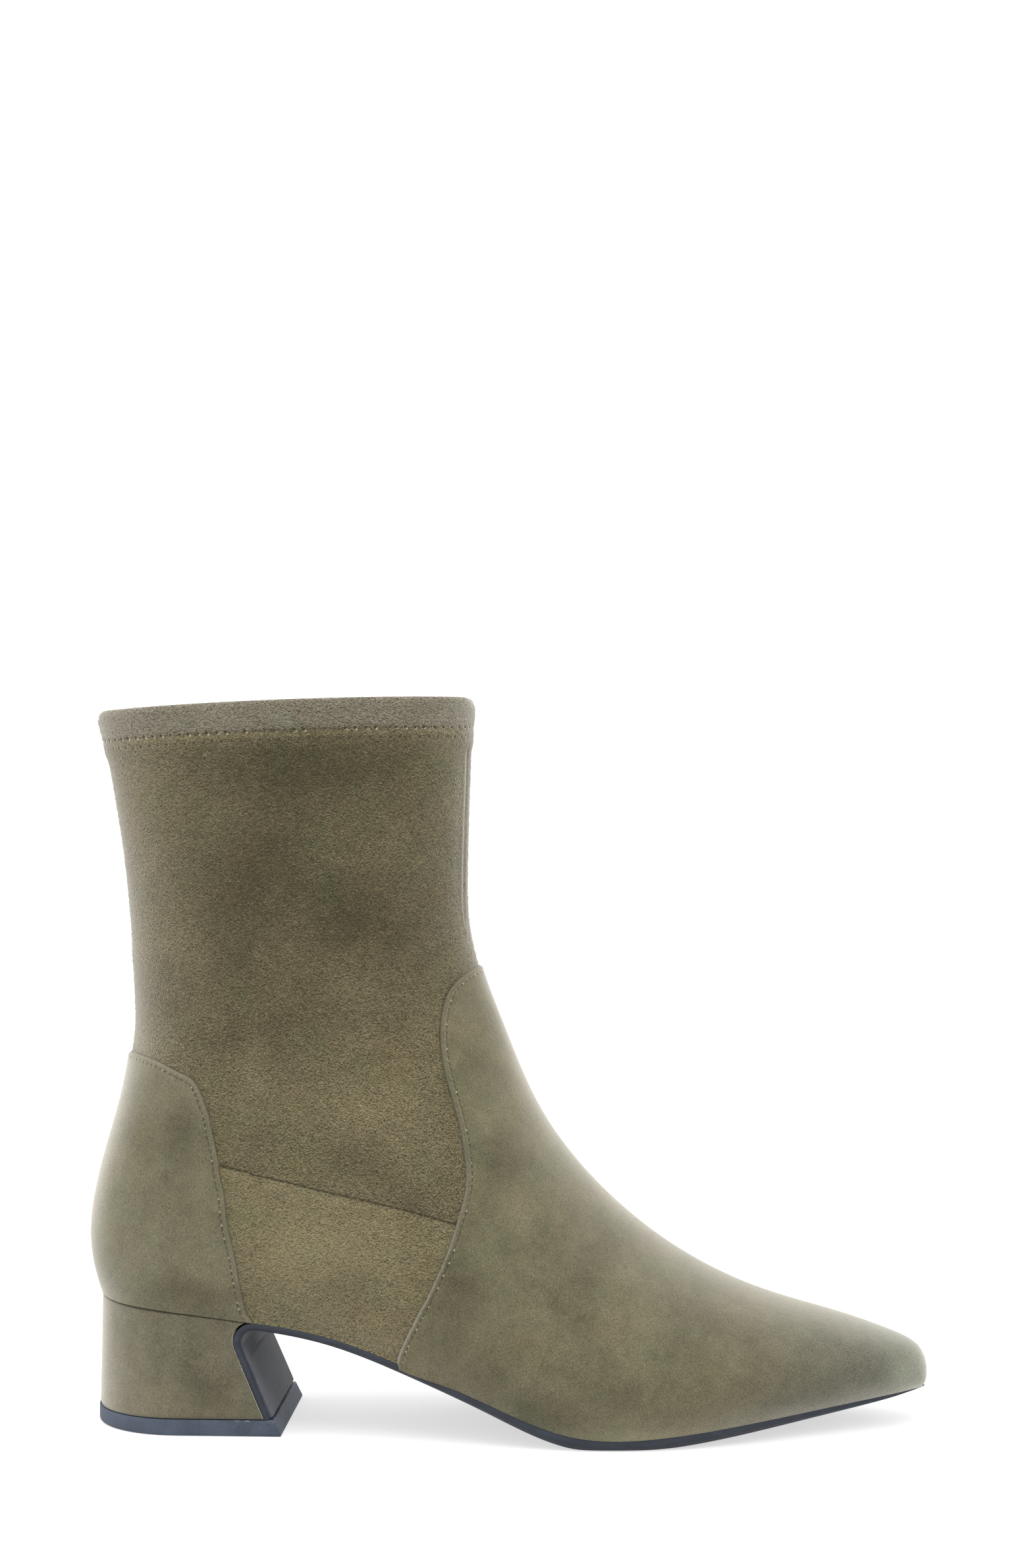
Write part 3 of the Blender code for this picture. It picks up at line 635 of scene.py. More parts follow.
class Paint:
    """One material's nodes round its Principled shader."""

    def __init__(self, name, **constants):
        self.material = bpy.data.materials.new(name)
        self.material.use_nodes = True
        self.tree = self.material.node_tree
        self.shader = self.tree.nodes["Principled BSDF"]
        for label, value in constants.items():
            self.feed(self.shader, label.replace("_", " ").title().replace("Ior", "IOR"), value)

    def feed(self, node, socket, value):
        if isinstance(value, Wire):
            self.tree.links.new(value.socket, node.inputs[socket])
        else:
            node.inputs[socket].default_value = value

    def node(self, kind, settings, inputs):
        made = self.tree.nodes.new(kind)
        for label, value in settings.items():
            setattr(made, label, value)
        for socket, value in inputs.items():
            self.feed(made, socket, value)
        return made

    def value(self, kind, settings, inputs, output=0):
        return Wire(self, self.node(kind, settings, inputs).outputs[output])

    def place(self, rise_mm=0.0):
        """Object coordinates, in metres, looked up a little higher."""
        here = self.value("ShaderNodeTexCoord", {}, {}, "Object")
        rise = (0.0, 0.0, rise_mm * MM)
        return self.value("ShaderNodeVectorMath", {"operation": "ADD"}, {0: here, 1: rise})

    def attribute(self, label):
        """The three numbers that a piece keeps at each point under this name."""
        kept = self.value("ShaderNodeAttribute", {"attribute_name": label}, {}, "Vector")
        return self.split(kept)

    def split(self, vector):
        """The three numbers of a vector."""
        parts = self.node("ShaderNodeSeparateXYZ", {}, {0: vector})
        return [Wire(self, parts.outputs[i]) for i in range(3)]

    def millimetres(self):
        """Object coordinates x, y and z in millimetres."""
        return [part / MM for part in self.split(self.place())]

    def noise(
        self, size_mm, stretch=(1.0, 1.0, 1.0), detail=2.0, roughness=0.5, warp=0.0, lean=0.0,
        rise=0.0,
    ):
        """Cloudy noise with blobs of about this size, drawn out along the axes, which lean
        towards the toe by an angle."""
        turned = {"Vector": self.place(rise), "Angle": lean}
        leaning = self.value("ShaderNodeVectorRotate", {"rotation_type": "Y_AXIS"}, turned)
        divide = {"operation": "DIVIDE"}
        scaled = self.value("ShaderNodeVectorMath", divide, {0: leaning, 1: stretch})
        inputs = {
            "Vector": scaled, "Scale": 1.0 / (size_mm * MM), "Detail": detail,
            "Roughness": roughness, "Distortion": warp,
        }
        return self.value("ShaderNodeTexNoise", {}, inputs)

    def chance(self, number):
        """A fixed random number from 0 to 1 for each whole number."""
        return self.value("ShaderNodeTexWhiteNoise", {"noise_dimensions": "1D"}, {"W": number})

    def mix(self, share, first, second, blend="MIX"):
        """From the first colour to the second, or to their blend."""
        settings = {"data_type": "RGBA", "blend_type": blend}
        return self.value("ShaderNodeMix", settings, {0: share, 6: first, 7: second}, 2)

    def bump(self, height, depth_mm, strength=1.0, over=None):
        """Raises the surface by a height from 0 to 1 times a depth, over an earlier bump."""
        inputs = {"Strength": strength, "Distance": depth_mm * MM, "Height": height}
        if over:
            inputs["Normal"] = over
        return self.value("ShaderNodeBump", {}, inputs)

    def finish(self, colour, roughness, normal):
        self.feed(self.shader, "Base Color", colour)
        self.feed(self.shader, "Roughness", roughness)
        self.feed(self.shader, "Normal", normal)
        return self.material


def nap_paint(name, sheen=FINE_SHEEN):
    """A suede base: rough, hardly shiny, with a soft pale sheen at grazing angles."""
    return Paint(
        name, specular_ior_level=0.1, sheen_weight=1.0, sheen_roughness=sheen,
        sheen_tint=SHEEN_TINT,
    )


def suede_colour(paint, brush_and_light, lit, level, cloud_share=FINE_CLOUDS):
    """From a dark brown to a pale olive, by a level, the brushing with its painted light and
    shade, soft clouds and the nap's tone, painted light included on the shaft, drifting here
    and there to green and to brown."""
    clouds = sum(share * paint.noise(size, warp=twist) for size, twist, share in CLOUDS)
    light = level + BRUSH_AND_LIGHT_SHARE * brush_and_light + cloud_share * (clouds - 0.5)
    colour = paint.mix(light + lit * (0.45 + 0.8 * light), SUEDE_DARK, SUEDE_LIGHT)
    colour = paint.mix(paint.noise(15.0, warp=0.5).ramp(0.5, 0.7), colour, GREEN_DRIFT, "MULTIPLY")
    return paint.mix(paint.noise(21.0, warp=0.5).ramp(0.5, 0.7), colour, BROWN_DRIFT, "MULTIPLY")


def curly_nap(paint):
    """A curly nap: short strokes leaning both ways, the higher of the two. Gives its height,
    and its painted light: high places, and those that fall off upwards, are painted light as
    if lit from above, and pebbles of about a millimetre add their own lighter and darker grain."""
    heights = []
    for rise in (0.0, NAP_RISE * SHAFT_NAP):
        rising, falling = [
            paint.noise(SHAFT_NAP, NAP_STRETCH, 3.0, 0.65, 1.0, lean, rise)
            for lean in (NAP_LEAN, -NAP_LEAN)
        ]
        heights.append(rising.higher(falling))
    # Painted light from above: the nap against the same nap looked up a little higher
    lit = (heights[0] * 1.5 - heights[1] * 0.8 - 0.39) * SHAFT_NAP_CONTRAST
    pebbles = paint.noise(PEBBLES, NAP_STRETCH, 2.0, 0.5, 0.8)
    return heights[0], lit + (pebbles - 0.5) * PEBBLE_CONTRAST


def fine_nap(paint):
    """An even fine grain. Gives its height, and its tone."""
    grain = paint.noise(FINE_NAP, detail=3.0, roughness=0.7, warp=0.4)
    return grain, (grain - 0.5) * FINE_NAP_CONTRAST


def spot(sideways, up, rim, core):
    """A round spot: one within its core, none beyond its rim, both squares of a radius."""
    return (sideways * sideways + up * up).ramp(rim, core)


def hem_stitches(paint, around, below, nap):
    """The hem's two rows: needle holes of different sizes, how much painted shade each hole
    takes, dimples half a step on in the lower row, and glints of thread beside some of the holes."""
    step = around / HEM_STITCH
    chance = paint.chance(step.floor())
    beside = (step.left_over() - 0.6 + 0.2 * chance) * HEM_STITCH
    half_on = ((step + 0.5).left_over() - 0.5) * HEM_STITCH
    under = below - HEM_ROW_HIGH
    hole = spot(beside, under, 0.36 + 0.3 * chance, 0.02)
    dimple = spot(half_on, below - HEM_ROW_LOW, 0.40, 0.02)
    glint = spot(beside - 0.6, under - 0.5, 0.18, 0.02)
    glint = glint * chance.ramp(0.25, 0.6) * nap.ramp(0.42, 0.55)
    return hole, hole * (0.55 + 0.35 * chance), dimple, glint


def stretch_suede():
    """Shaft fabric: a curly pebbled nap with painted light from above, lighter under the side
    seam, lighter and greyer in the hem as painted sheen, with the hem's stitches, painted shade
    in their holes and dimples, and painted shade in the grooves of the side seam and of a front
    seam with a pale welt beside it."""
    paint = nap_paint("stretch_suede", SHAFT_SHEEN)
    nap, lit = curly_nap(paint)
    around, below, brush_and_light = paint.attribute("hem")
    run, side, front = paint.attribute("seam")
    in_hem = below.ramp(HEM_ROW_HIGH + 0.2, HEM_ROW_HIGH - 0.8)
    # The hem lighter as painted sheen, the panel under the side seam lighter
    level = SHAFT_LEVEL + PANEL_LIGHTER * side.ramp(0.4, -0.4) + HEM_SHEEN_LIGHTER * in_hem
    level = level + ROW_LIGHTER * abs(below - HEM_ROW_MIDDLE).ramp(1.1, 0.4)
    colour = suede_colour(paint, brush_and_light, lit, level, SHAFT_CLOUDS)
    hole, hole_shade, dimple, glint = hem_stitches(paint, around, below, nap)
    dash = (run / SIDE_STITCH).left_over().ramp(0.15, 0.35)
    groove = abs(side).ramp(0.55, 0.10) * (0.45 + 0.3 * dash)
    front_groove = abs(front).ramp(0.6, 0.1) * 0.35
    front_welt = abs(front + 0.9).ramp(0.7, 0.1) * 0.3
    # Painted shade in the grooves of the side and front seams
    colour = paint.mix(groove, colour, PAINTED_SHADE)
    colour = paint.mix(front_groove, colour, PAINTED_SHADE)
    colour = paint.mix(front_welt, colour, THREAD)
    # Painted shade in the lower row's dimples and the upper row's needle holes
    colour = paint.mix(dimple * 0.6, colour, PAINTED_SHADE)
    colour = paint.mix(hole_shade, colour, PAINTED_SHADE)
    # The hem greyer as painted sheen
    colour = paint.mix(in_hem, colour, HEM_SHEEN_TINT, "MULTIPLY")
    colour = paint.mix(glint * 0.65, colour, THREAD)
    normal = paint.bump(1.0 - hole - 0.6 * dimple, 0.25)
    normal = paint.bump(nap, 0.45, 0.9, normal)
    return paint.finish(colour, SUEDE_ROUGH + NAP_ROUGH * nap, normal)


def sewn_suede(name, level, tint):
    """Fine suede of an overlay: a short nap, clouds and brushing with painted light and shade,
    greyer towards the toe as painted sheen, a painted shadow along the folded edge and a row of
    stitches inside it, holes darkened with painted shade and a pale thread that shows here and
    there."""
    paint = nap_paint(name)
    nap, lit = fine_nap(paint)
    run, inside, brush_and_light = paint.attribute("edge")
    colour = paint.mix(1.0, suede_colour(paint, brush_and_light, lit, level), tint, "MULTIPLY")
    x, _, _ = paint.millimetres()
    # Greyer towards the toe as painted sheen
    colour = paint.mix(x.ramp(*TOE_SHEEN_X), colour, TOE_SHEEN_TINT, "MULTIPLY")
    step = run / EDGE_STITCH
    chance = paint.chance(step.floor())
    step = step.left_over()
    off_line = inside - STITCH_IN
    line = abs(off_line).ramp(0.42, 0.12)
    hole = line * abs(step - 0.35).ramp(0.36, 0.18)
    thread = abs(off_line).ramp(0.26, 0.10) * abs(step - 0.80).ramp(0.16, 0.08)
    # Painted shadow along the folded edge, then painted shade in the stitch groove and its holes
    colour = paint.mix(inside.ramp(0.45, 0.05) * 0.7, colour, PAINTED_SHADE)
    colour = paint.mix(line * 0.15 + hole * (0.2 + 0.4 * chance), colour, PAINTED_SHADE)
    colour = paint.mix(thread * chance.ramp(0.4, 0.9) * 0.7, colour, THREAD)
    normal = paint.bump(1.0 - hole + 0.3 * thread, 0.12)
    normal = paint.bump(nap, 0.25, 0.8, normal)
    return paint.finish(colour, SUEDE_ROUGH + NAP_ROUGH * nap, normal)


def heel_suede():
    """The same fine suede drawn smooth over the heel block, with a painted shadow where it meets
    the seat.
    """
    paint = nap_paint("heel_suede")
    nap, lit = fine_nap(paint)
    below_seat, _, brush_and_light = paint.attribute("heel")
    colour = paint.mix(1.0, suede_colour(paint, brush_and_light, lit, HEEL_LEVEL), HEEL_TINT, "MULTIPLY")
    # Painted shadow in the gap under the heel seat
    colour = paint.mix(below_seat.ramp(0.8, 0.1) * 0.8, colour, PAINTED_SHADE)
    return paint.finish(colour, SUEDE_ROUGH + NAP_ROUGH * nap, paint.bump(nap, 0.22, 0.7))


def nap_fibres():
    """Single fibres that stand out of the suede, in its colours painted lighter, as if lit."""
    paint = nap_paint("nap_fibres")
    nap, lit = fine_nap(paint)
    brush_and_light, _, _ = paint.attribute("brush_and_light")
    colour = suede_colour(paint, brush_and_light, lit, FIBRE_LIT_LEVEL)
    return paint.finish(colour, 0.9 + 0.08 * nap, paint.bump(nap, 0.02, 0.1))


def sole_rubber():
    """Blue-black matt rubber with a fine grain and faint scuffs along the boot, painted lighter
    grey on the face of the flap down the heel breast as painted light."""
    paint = Paint("sole_rubber", specular_ior_level=0.35)
    grain = paint.noise(0.5, detail=3.0)
    scuff = paint.noise(2.4, (6.0, 1.0, 1.0), 3.0, 0.6)
    tone = 0.5 * scuff.ramp(0.35, 0.75) + 0.5 * paint.noise(14.0)
    x, y, z = paint.millimetres()
    # Painted light on the flap's face
    flap = x.ramp(*FLAP_LIT_X) * abs(y).ramp(*FLAP_LIT_Y) * z.ramp(*FLAP_LIT_Z)
    colour = paint.mix(flap, paint.mix(tone, *SOLE_EDGE), paint.mix(tone, *SOLE_BREAST_LIT))
    return paint.finish(colour, 0.66 + 0.2 * scuff, paint.bump(grain, 0.12, 0.6))


def lift_rubber():
    """Blue-black hard rubber of the top lift, satin and fine-grained, with pale worn
    places along its top edge."""
    paint = Paint("lift_rubber", specular_ior_level=0.35)
    grain = paint.noise(0.35, detail=3.0)
    tone = 0.5 * grain + 0.5 * paint.noise(9.0)
    colour = paint.mix(tone.ramp(0.3, 0.7), *LIFT_RUBBER)
    x, _, z = paint.millimetres()
    worn = z.ramp(*WORN_Z) * x.ramp(*WORN_X)
    worn = worn * paint.noise(1.1, (3.0, 3.0, 1.0), 3.0).ramp(0.50, 0.65)
    colour = paint.mix(worn * 0.4, colour, LIFT_WORN)
    return paint.finish(colour, 0.55 + 0.16 * grain, paint.bump(grain, 0.05, 0.5))


def lining_cloth():
    """Knitted lining inside the shaft: fine upright ribs in a sand colour."""
    paint = Paint("lining_cloth", specular_ior_level=0.2, sheen_weight=0.2)
    ribs = paint.noise(0.8, (0.8, 0.8, 4.0), 2.0)
    tone = 0.6 * ribs + 0.4 * paint.noise(12.0)
    colour = paint.mix(tone.ramp(0.3, 0.7), *LINING)
    return paint.finish(colour, 0.9 + 0.05 * ribs, paint.bump(ribs, 0.3, 0.6))


def insole_cover():
    """Smooth sock lining over the insole board, with a soft grain and worn patches."""
    paint = Paint("insole_cover", specular_ior_level=0.3)
    grain = paint.noise(0.9, detail=3.0)
    tone = 0.4 * grain + 0.6 * paint.noise(22.0, warp=0.4)
    colour = paint.mix(tone.ramp(0.3, 0.7), *INSOLE)
    return paint.finish(colour, 0.6 + 0.15 * grain, paint.bump(grain, 0.1, 0.5))


def floor_paint():
    """Pale matt studio floor, a little lit from within like a light table."""
    paint = Paint(
        "studio_floor", specular_ior_level=0.2, emission_color=WHITE, emission_strength=FLOOR_GLOW
    )
    tone = paint.noise(300.0)
    colour = paint.mix(tone, *FLOOR)
    return paint.finish(colour, 0.9 + 0.02 * tone, paint.bump(tone, 0.1, 0.1))


# The pieces

def row_length(along, across):
    """Millimetres that one section row is worth, just before a place on the last."""
    reach = last_point(along, across) - last_point(along - SMALL_STEP, across)
    return np.linalg.norm(reach, axis=-1) / SMALL_STEP


def between(start, end, count):
    """Even rows from a start to an end."""
    return start + (end - start) * np.linspace(0.0, 1.0, count)[:, None]


def hem_profile():
    """Heights below the collar edge and lifts of the hem: up the outside with a pinch at
    each row of stitches, over a half-round fold and down the inside."""
    below = np.linspace(HEM_ZONE, HEM_FOLD, HEM_ROWS)[1:]
    puffed = HEM_LIFT * smooth_step(below, HEM_ZONE, HEM_ROW_LOW)
    pinch = hump(below - HEM_ROW_HIGH, HEM_PINCH_WIDTH)
    pinch += HEM_PINCH_LOW * hump(below - HEM_ROW_LOW, HEM_PINCH_WIDTH)
    outside = puffed - HEM_PINCH * pinch
    turn = np.linspace(0.0, math.pi, FOLD_ROWS)[1:]
    middle = (HEM_LIFT - UPPER_WALL) / 2.0
    half = (HEM_LIFT + UPPER_WALL) / 2.0
    fold_below = HEM_FOLD * (1.0 - np.sin(turn))
    fold = middle + half * np.cos(turn)
    inside_below = np.linspace(HEM_FOLD, HEM_INSIDE, HEM_INSIDE_ROWS)[1:]
    inside = np.full_like(inside_below, -UPPER_WALL)
    heights = np.concatenate([below, fold_below, inside_below])
    return heights, np.concatenate([outside, fold, inside])


def seam_line(edge, side):
    """Points on the last along an edge table, on the outer side, -1, or the inner side, 1."""
    across, along = edge_curve(edge, LINE_FINE)
    return last_point(along, side * across), across, along


def edge_line(edge):
    """Points along an edge table, up the outer side and down the inner side."""
    outer, _, _ = seam_line(edge, -1.0)
    inner, _, _ = seam_line(edge, 1.0)
    return np.vstack([outer, inner[::-1][1:]])


def side_seam_gap(along, across, base):
    """Distance to the side seams, negative under them, and the length along them. Away
    from the seams the distance is a fixed reach."""
    size = np.abs(across) + np.zeros_like(along)
    before = along < SIDE_SEAM[0][1]
    gap = np.where((size > 1.0) & before, -SEAM_REACH, SEAM_REACH)
    run = np.zeros_like(along)
    for side in (-1.0, 1.0):
        line, line_across, line_along = seam_line(SIDE_SEAM, side)
        near = (np.sign(across) == side) & before
        near &= (size > SEAM_ACROSS[0]) & (size < SEAM_ACROSS[1])
        away, run[near] = nearest(base[near], line)
        seam_across = np.interp(along[near], line_along[::-1], line_across[::-1])
        gap[near] = np.where(size[near] < seam_across, 1.0, -1.0) * away
    return gap, run


def front_seam_gap(along, across, base, height):
    """Distance to the front seam, a little to the outer side of the ridge. It grows where
    the seam narrows to nothing, above the vamp and under the hem."""
    ridge = last_point(along, np.zeros_like(along))
    gap = np.sign(across) * np.linalg.norm(base - ridge, axis=-1) + FRONT_SEAM_OFF
    narrowing = smooth_step(along, FRONT_SEAM_FROM, FRONT_SEAM_FULL)
    narrowing = narrowing * smooth_step(height, HEM_ROW_LOW, HEM_ZONE)
    return gap / np.maximum(narrowing, SMALL_STEP)


def collar_corner(points, height, round_collar):
    """How far the collar's front and back corners drop: a high power of the distance from
    the middle, fading out down the hem."""
    ends = np.ptp(round_collar[:, 0]) / 2.0
    off_middle = (points[..., 0] - round_collar[:, 0].min() - ends) / ends
    drop = COLLAR_CORNER * np.clip(np.abs(off_middle), 0.0, 1.0) ** COLLAR_CORNER_POWER
    return drop * smooth_step(height, HEM_ROW_HIGH, 0.0)


def make_upper(material):
    """The stretch upper from under the overlays to the collar: section rows up to the hem
    zone, then rows at even heights below the collar, over the fold and inside. The seams
    are grooves with a soft swelling on both sides, the creases soft troughs. Its foot
    bulges over the sole's ledge. Gives the points of its outside and fold."""
    across = both_sides(np.linspace(0.0, 2.0, UPPER_COLUMNS))
    rate = row_length(COLLAR_ROW, across)
    lower = between(UPPER_FIRST_ROW, COLLAR_ROW - HEM_ZONE / rate, UPPER_ROWS)
    below, hem_lift = hem_profile()
    along = np.vstack([lower, COLLAR_ROW - below[:, None] / rate])
    outside = (np.arange(len(along)) < UPPER_ROWS + HEM_ROWS - 1)[:, None]
    height = (COLLAR_ROW - along) * rate
    base = last_point(along, across)
    side_gap, run = side_seam_gap(along, across, base)
    front_gap = front_seam_gap(along, across, base, height)
    height = np.where(outside, height, 0.0)
    lift = np.concatenate([np.zeros(UPPER_ROWS), hem_lift])[:, None] + np.zeros_like(along)
    lift -= SEAM_DEPTH * hump(side_gap, SEAM_WIDTH)
    lift += SEAM_PUFF * hump(np.abs(side_gap) - SEAM_PUFF_AT, SEAM_PUFF_WIDTH)
    lift -= ovals(base, CREASES) * outside
    front_puff = FRONT_PUFF * hump(np.abs(front_gap) - FRONT_PUFF_AT, FRONT_PUFF_WIDTH)
    lift -= FRONT_SEAM_DEPTH * (hump(front_gap, SEAM_WIDTH) - front_puff) * outside
    over_sole = smooth_step(np.abs(across), FOOT_BULGE_ACROSS, 2.0)
    over_sole = over_sole * smooth_step(along, *FOOT_BULGE_ROWS)
    points = lifted(along, across, lift + FOOT_BULGE * over_sole)
    points[..., 2] -= PIECE_GAP * over_sole
    round_collar = last_point(COLLAR_ROW, across)
    points[..., 2] -= collar_corner(points, height, round_collar)
    steps = np.linalg.norm(np.diff(round_collar, axis=0), axis=-1)
    arc = np.concatenate([[0.0], np.cumsum(steps)]) + np.zeros_like(along)
    hem = np.stack([arc, height, brushed_and_painted_light(points)], axis=-1)
    seam = np.stack([run, side_gap, np.where(outside, front_gap, SEAM_REACH)], axis=-1)
    faces = grid_faces(*along.shape)
    attributes = {"hem": hem, "seam": seam}
    add_piece("shaft", points, faces, material, "upper", attributes)
    return points[:UPPER_ROWS + HEM_ROWS + FOLD_ROWS]


def make_lining(material):
    """The inside of the boot: the last's own sections, one wall thickness in."""
    across = both_sides(np.linspace(0.0, 2.0, LINING_COLUMNS))
    top = COLLAR_ROW - LINING_TOP / row_length(COLLAR_ROW, across)
    along = between(LINING_FIRST_ROW, top, LINING_ROWS)
    points = lifted(along, across, np.full_like(along, -UPPER_WALL - LINING_GAP))
    faces = grid_faces(*along.shape)[:, ::-1]
    add_piece("lining", points, faces, material)


def overlay_lift(inside):
    """Height of an overlay at a distance inside its edge: a rounded fold, a soft roll and
    a groove along the stitches."""
    past = np.clip(1.0 - inside / EDGE_ROUND, 0.0, 1.0)
    lift = EDGE_LIFT + (OVERLAY_LIFT - EDGE_LIFT) * (1.0 - past**2)
    lift += EDGE_PUFF * hump(inside - EDGE_PUFF_AT, EDGE_PUFF_WIDTH)
    return lift - STITCH_DEPTH * hump(inside - STITCH_IN, STITCH_WIDTH)


def edge_attribute(place, inside, points):
    """Length along the edge, distance inside it and the brushing with its painted light and
    shade, for the stitches and nap.
    """
    return {"edge": np.stack([place, inside, brushed_and_painted_light(points)], axis=-1)}


def make_vamp(material):
    """The vamp: rows from the toe tip to the edge, closer together near it, raised by
    the distance to the edge. The first row closes the tip, the end columns turn in, and
    the low back corners hang a little over the sole."""
    across = both_sides(np.linspace(0.0, 2.0, VAMP_COLUMNS))
    edge_across, edge_along = edge_curve(VAMP_EDGE, LINE_FINE)
    edge = np.interp(np.abs(across), edge_across[::-1], edge_along[::-1])
    near = NEAR_EDGE / row_length(edge, across)
    rows = between(VAMP_TOE_ROW, edge - near, VAMP_ROWS)
    left = (1.0 - np.linspace(0.0, 1.0, NEAR_EDGE_ROWS)[1:, None]) ** NEAR_EDGE_EASE
    along = np.vstack([rows, edge - near * left])
    base = last_point(along, across)
    inside = np.full_like(along, SEAM_REACH)
    place = np.zeros_like(along)
    close = along > VAMP_SEWN_ROW
    inside[close], place[close] = nearest(base[close], edge_line(VAMP_EDGE))
    points = lifted(along, across, overlay_lift(inside))
    lip = lifted(along[:, [0, -1]], across[[0, -1]], overlay_lift(inside[:, [0, -1]]) - LIP_IN)
    hang = VAMP_HANG * smooth_step(along, VAMP_HANG_ROW, VAMP_EDGE[0][1])
    points[..., 2] -= hang * smooth_step(np.abs(across), VAMP_HANG_ACROSS, 2.0)
    lip[..., 2] -= hang[:, [0, -1]]
    points = np.concatenate([lip[:, :1], points, lip[:, 1:]], axis=1)
    points[0] = points[0].mean(axis=0)
    inside = np.pad(inside, ((0, 0), (1, 1)), mode="edge")
    place = np.pad(place, ((0, 0), (1, 1)), mode="edge")
    faces = grid_faces(*inside.shape)
    attribute = edge_attribute(place, inside, points)
    add_piece("vamp_cover", points, faces, material, "vamp", attribute)


def make_counter(material):
    """The counter: on each side a sheet between its edge and the line along the sole and
    up the back, closer rows near the edge, raised by the distance to the edge. The sides
    join up the back."""
    edge_across, edge_along = edge_curve(COUNTER_EDGE, COUNTER_ROUND)
    back = between(edge_along[0], COUNTER_BACK_ROW, COUNTER_ROUND)[:, 0]
    depth = np.expm1(COUNTER_EASE * np.linspace(0.0, 1.0, COUNTER_DEPTH)[:, None])
    depth /= math.expm1(COUNTER_EASE)
    along = edge_along + (back - edge_along) * depth
    size = edge_across + (2.0 - edge_across) * depth
    line = edge_line(COUNTER_EDGE)
    grids = []
    reach = []
    faces = []
    for side in (-1.0, 1.0):
        inside, place = nearest(last_point(along, side * size), line)
        points = lifted(along, side * size, overlay_lift(inside))
        lip = lifted(along[-1], side * size[-1], overlay_lift(inside[-1]) - LIP_IN)
        lip = np.where((along[-1] < SEAT_ROW)[:, None], lip, points[-1])
        grids.append(np.vstack([points, lip[None]]))
        sewn = np.stack([place, inside], axis=-1)
        reach.append(np.vstack([sewn, sewn[-1:]]))
        rows = COUNTER_DEPTH + 1
        quads = grid_faces(rows, COUNTER_ROUND, first=len(faces) * rows * COUNTER_ROUND)
        faces.append(quads[:, ::-1] if side < 0 else quads)
    reach = np.array(reach)
    grids = np.array(grids)
    attribute = edge_attribute(reach[..., 0], reach[..., 1], grids)
    faces = np.vstack(faces)
    add_piece("counter_cover", grids, faces, material, "counter", attribute)


def make_nap(sheet, material):
    """Fibres standing out of the shaft's sheet of points: closed three-sided spikes, each
    rooted just under a face picked by its area, leaning a random way out of it. They are
    closer together on the front, top and back, which make the outline seen from the
    side, and where the shaft meets the sole."""
    corner = sheet[:-1, :-1].reshape(-1, 3)
    right = sheet[:-1, 1:].reshape(-1, 3) - corner
    up = sheet[1:, :-1].reshape(-1, 3) - corner
    square = np.cross(right, up)
    area = np.linalg.norm(square, axis=-1)
    crowd = 1.0 + RIM_CROWD * hump(square[:, 1] / np.maximum(area, TINY), RIM_BAND)
    to_edge = np.abs(np.linspace(-1.0, 1.0, sheet.shape[1] - 1)) + np.zeros((len(sheet) - 1, 1))
    crowd += SOLE_CROWD * (to_edge.reshape(-1) > SOLE_CROWD_FROM) * (corner[:, 2] < SEAT_HEIGHT)
    crowd *= area
    dice = np.random.default_rng(FIBRES)
    picked = dice.choice(len(area), FIBRES, p=crowd / crowd.sum())
    out = square[picked] / area[picked, None]
    shares = dice.random((2, FIBRES, 1))
    root = corner[picked] + right[picked] * shares[0] + up[picked] * shares[1] - FIBRE_ROOT * out
    stand = out + dice.normal(0.0, FIBRE_LEAN, (FIBRES, 3))
    stand /= np.linalg.norm(stand, axis=-1, keepdims=True)
    length = FIBRE_LENGTH * dice.uniform(FIBRE_SHORTEST, 1.0, (FIBRES, 1))
    tip = root + stand * (FIBRE_ROOT + length)
    first = np.cross(stand, right[picked])
    first *= FIBRE_HALF / np.linalg.norm(first, axis=-1, keepdims=True)
    second = np.cross(stand, first)
    turns = np.arange(3) * 2.0 * math.pi / 3.0
    feet = [root + first * math.cos(turn) + second * math.sin(turn) for turn in turns]
    points = np.stack(feet + [tip], axis=1)
    spike = np.array([(0, 1, 3), (1, 2, 3), (2, 0, 3), (2, 1, 0)])
    faces = (4 * np.arange(FIBRES)[:, None, None] + spike).reshape(-1, 3)
    # Each fibre takes the brushing's tone at its root, painted light and shade included
    tone = np.repeat(brushed_and_painted_light(root), 4)
    brush_and_light = np.stack([tone, np.zeros_like(tone), np.zeros_like(tone)], axis=-1)
    attribute = {"brush_and_light": brush_and_light}
    add_piece("shaft_nap", points, faces, material, None, attribute, joined=False)


def foot_edge(along, side, margin):
    """The sole's edge line on one side, -1 outer or 1 inner, moved outwards in plan, with
    that outward direction."""
    along = np.clip(np.asarray(along, float), 0.0, SEAT_ROW)

    def plan(at):
        half = foot_widths(at)[0 if side < 0 else 1]
        return np.stack([column("low_x", at), column("mid_y", at) + side * half], axis=-1)

    run = plan(np.minimum(along + SMALL_STEP, SEAT_ROW)) - plan(along - SMALL_STEP)
    run /= np.linalg.norm(run, axis=-1, keepdims=True)
    out = -side * np.stack([-run[..., 1], run[..., 0]], axis=-1)
    edge = plan(along) + np.asarray(margin)[..., None] * out
    return np.concatenate([edge, column("low_z", along)[..., None]], axis=-1), out


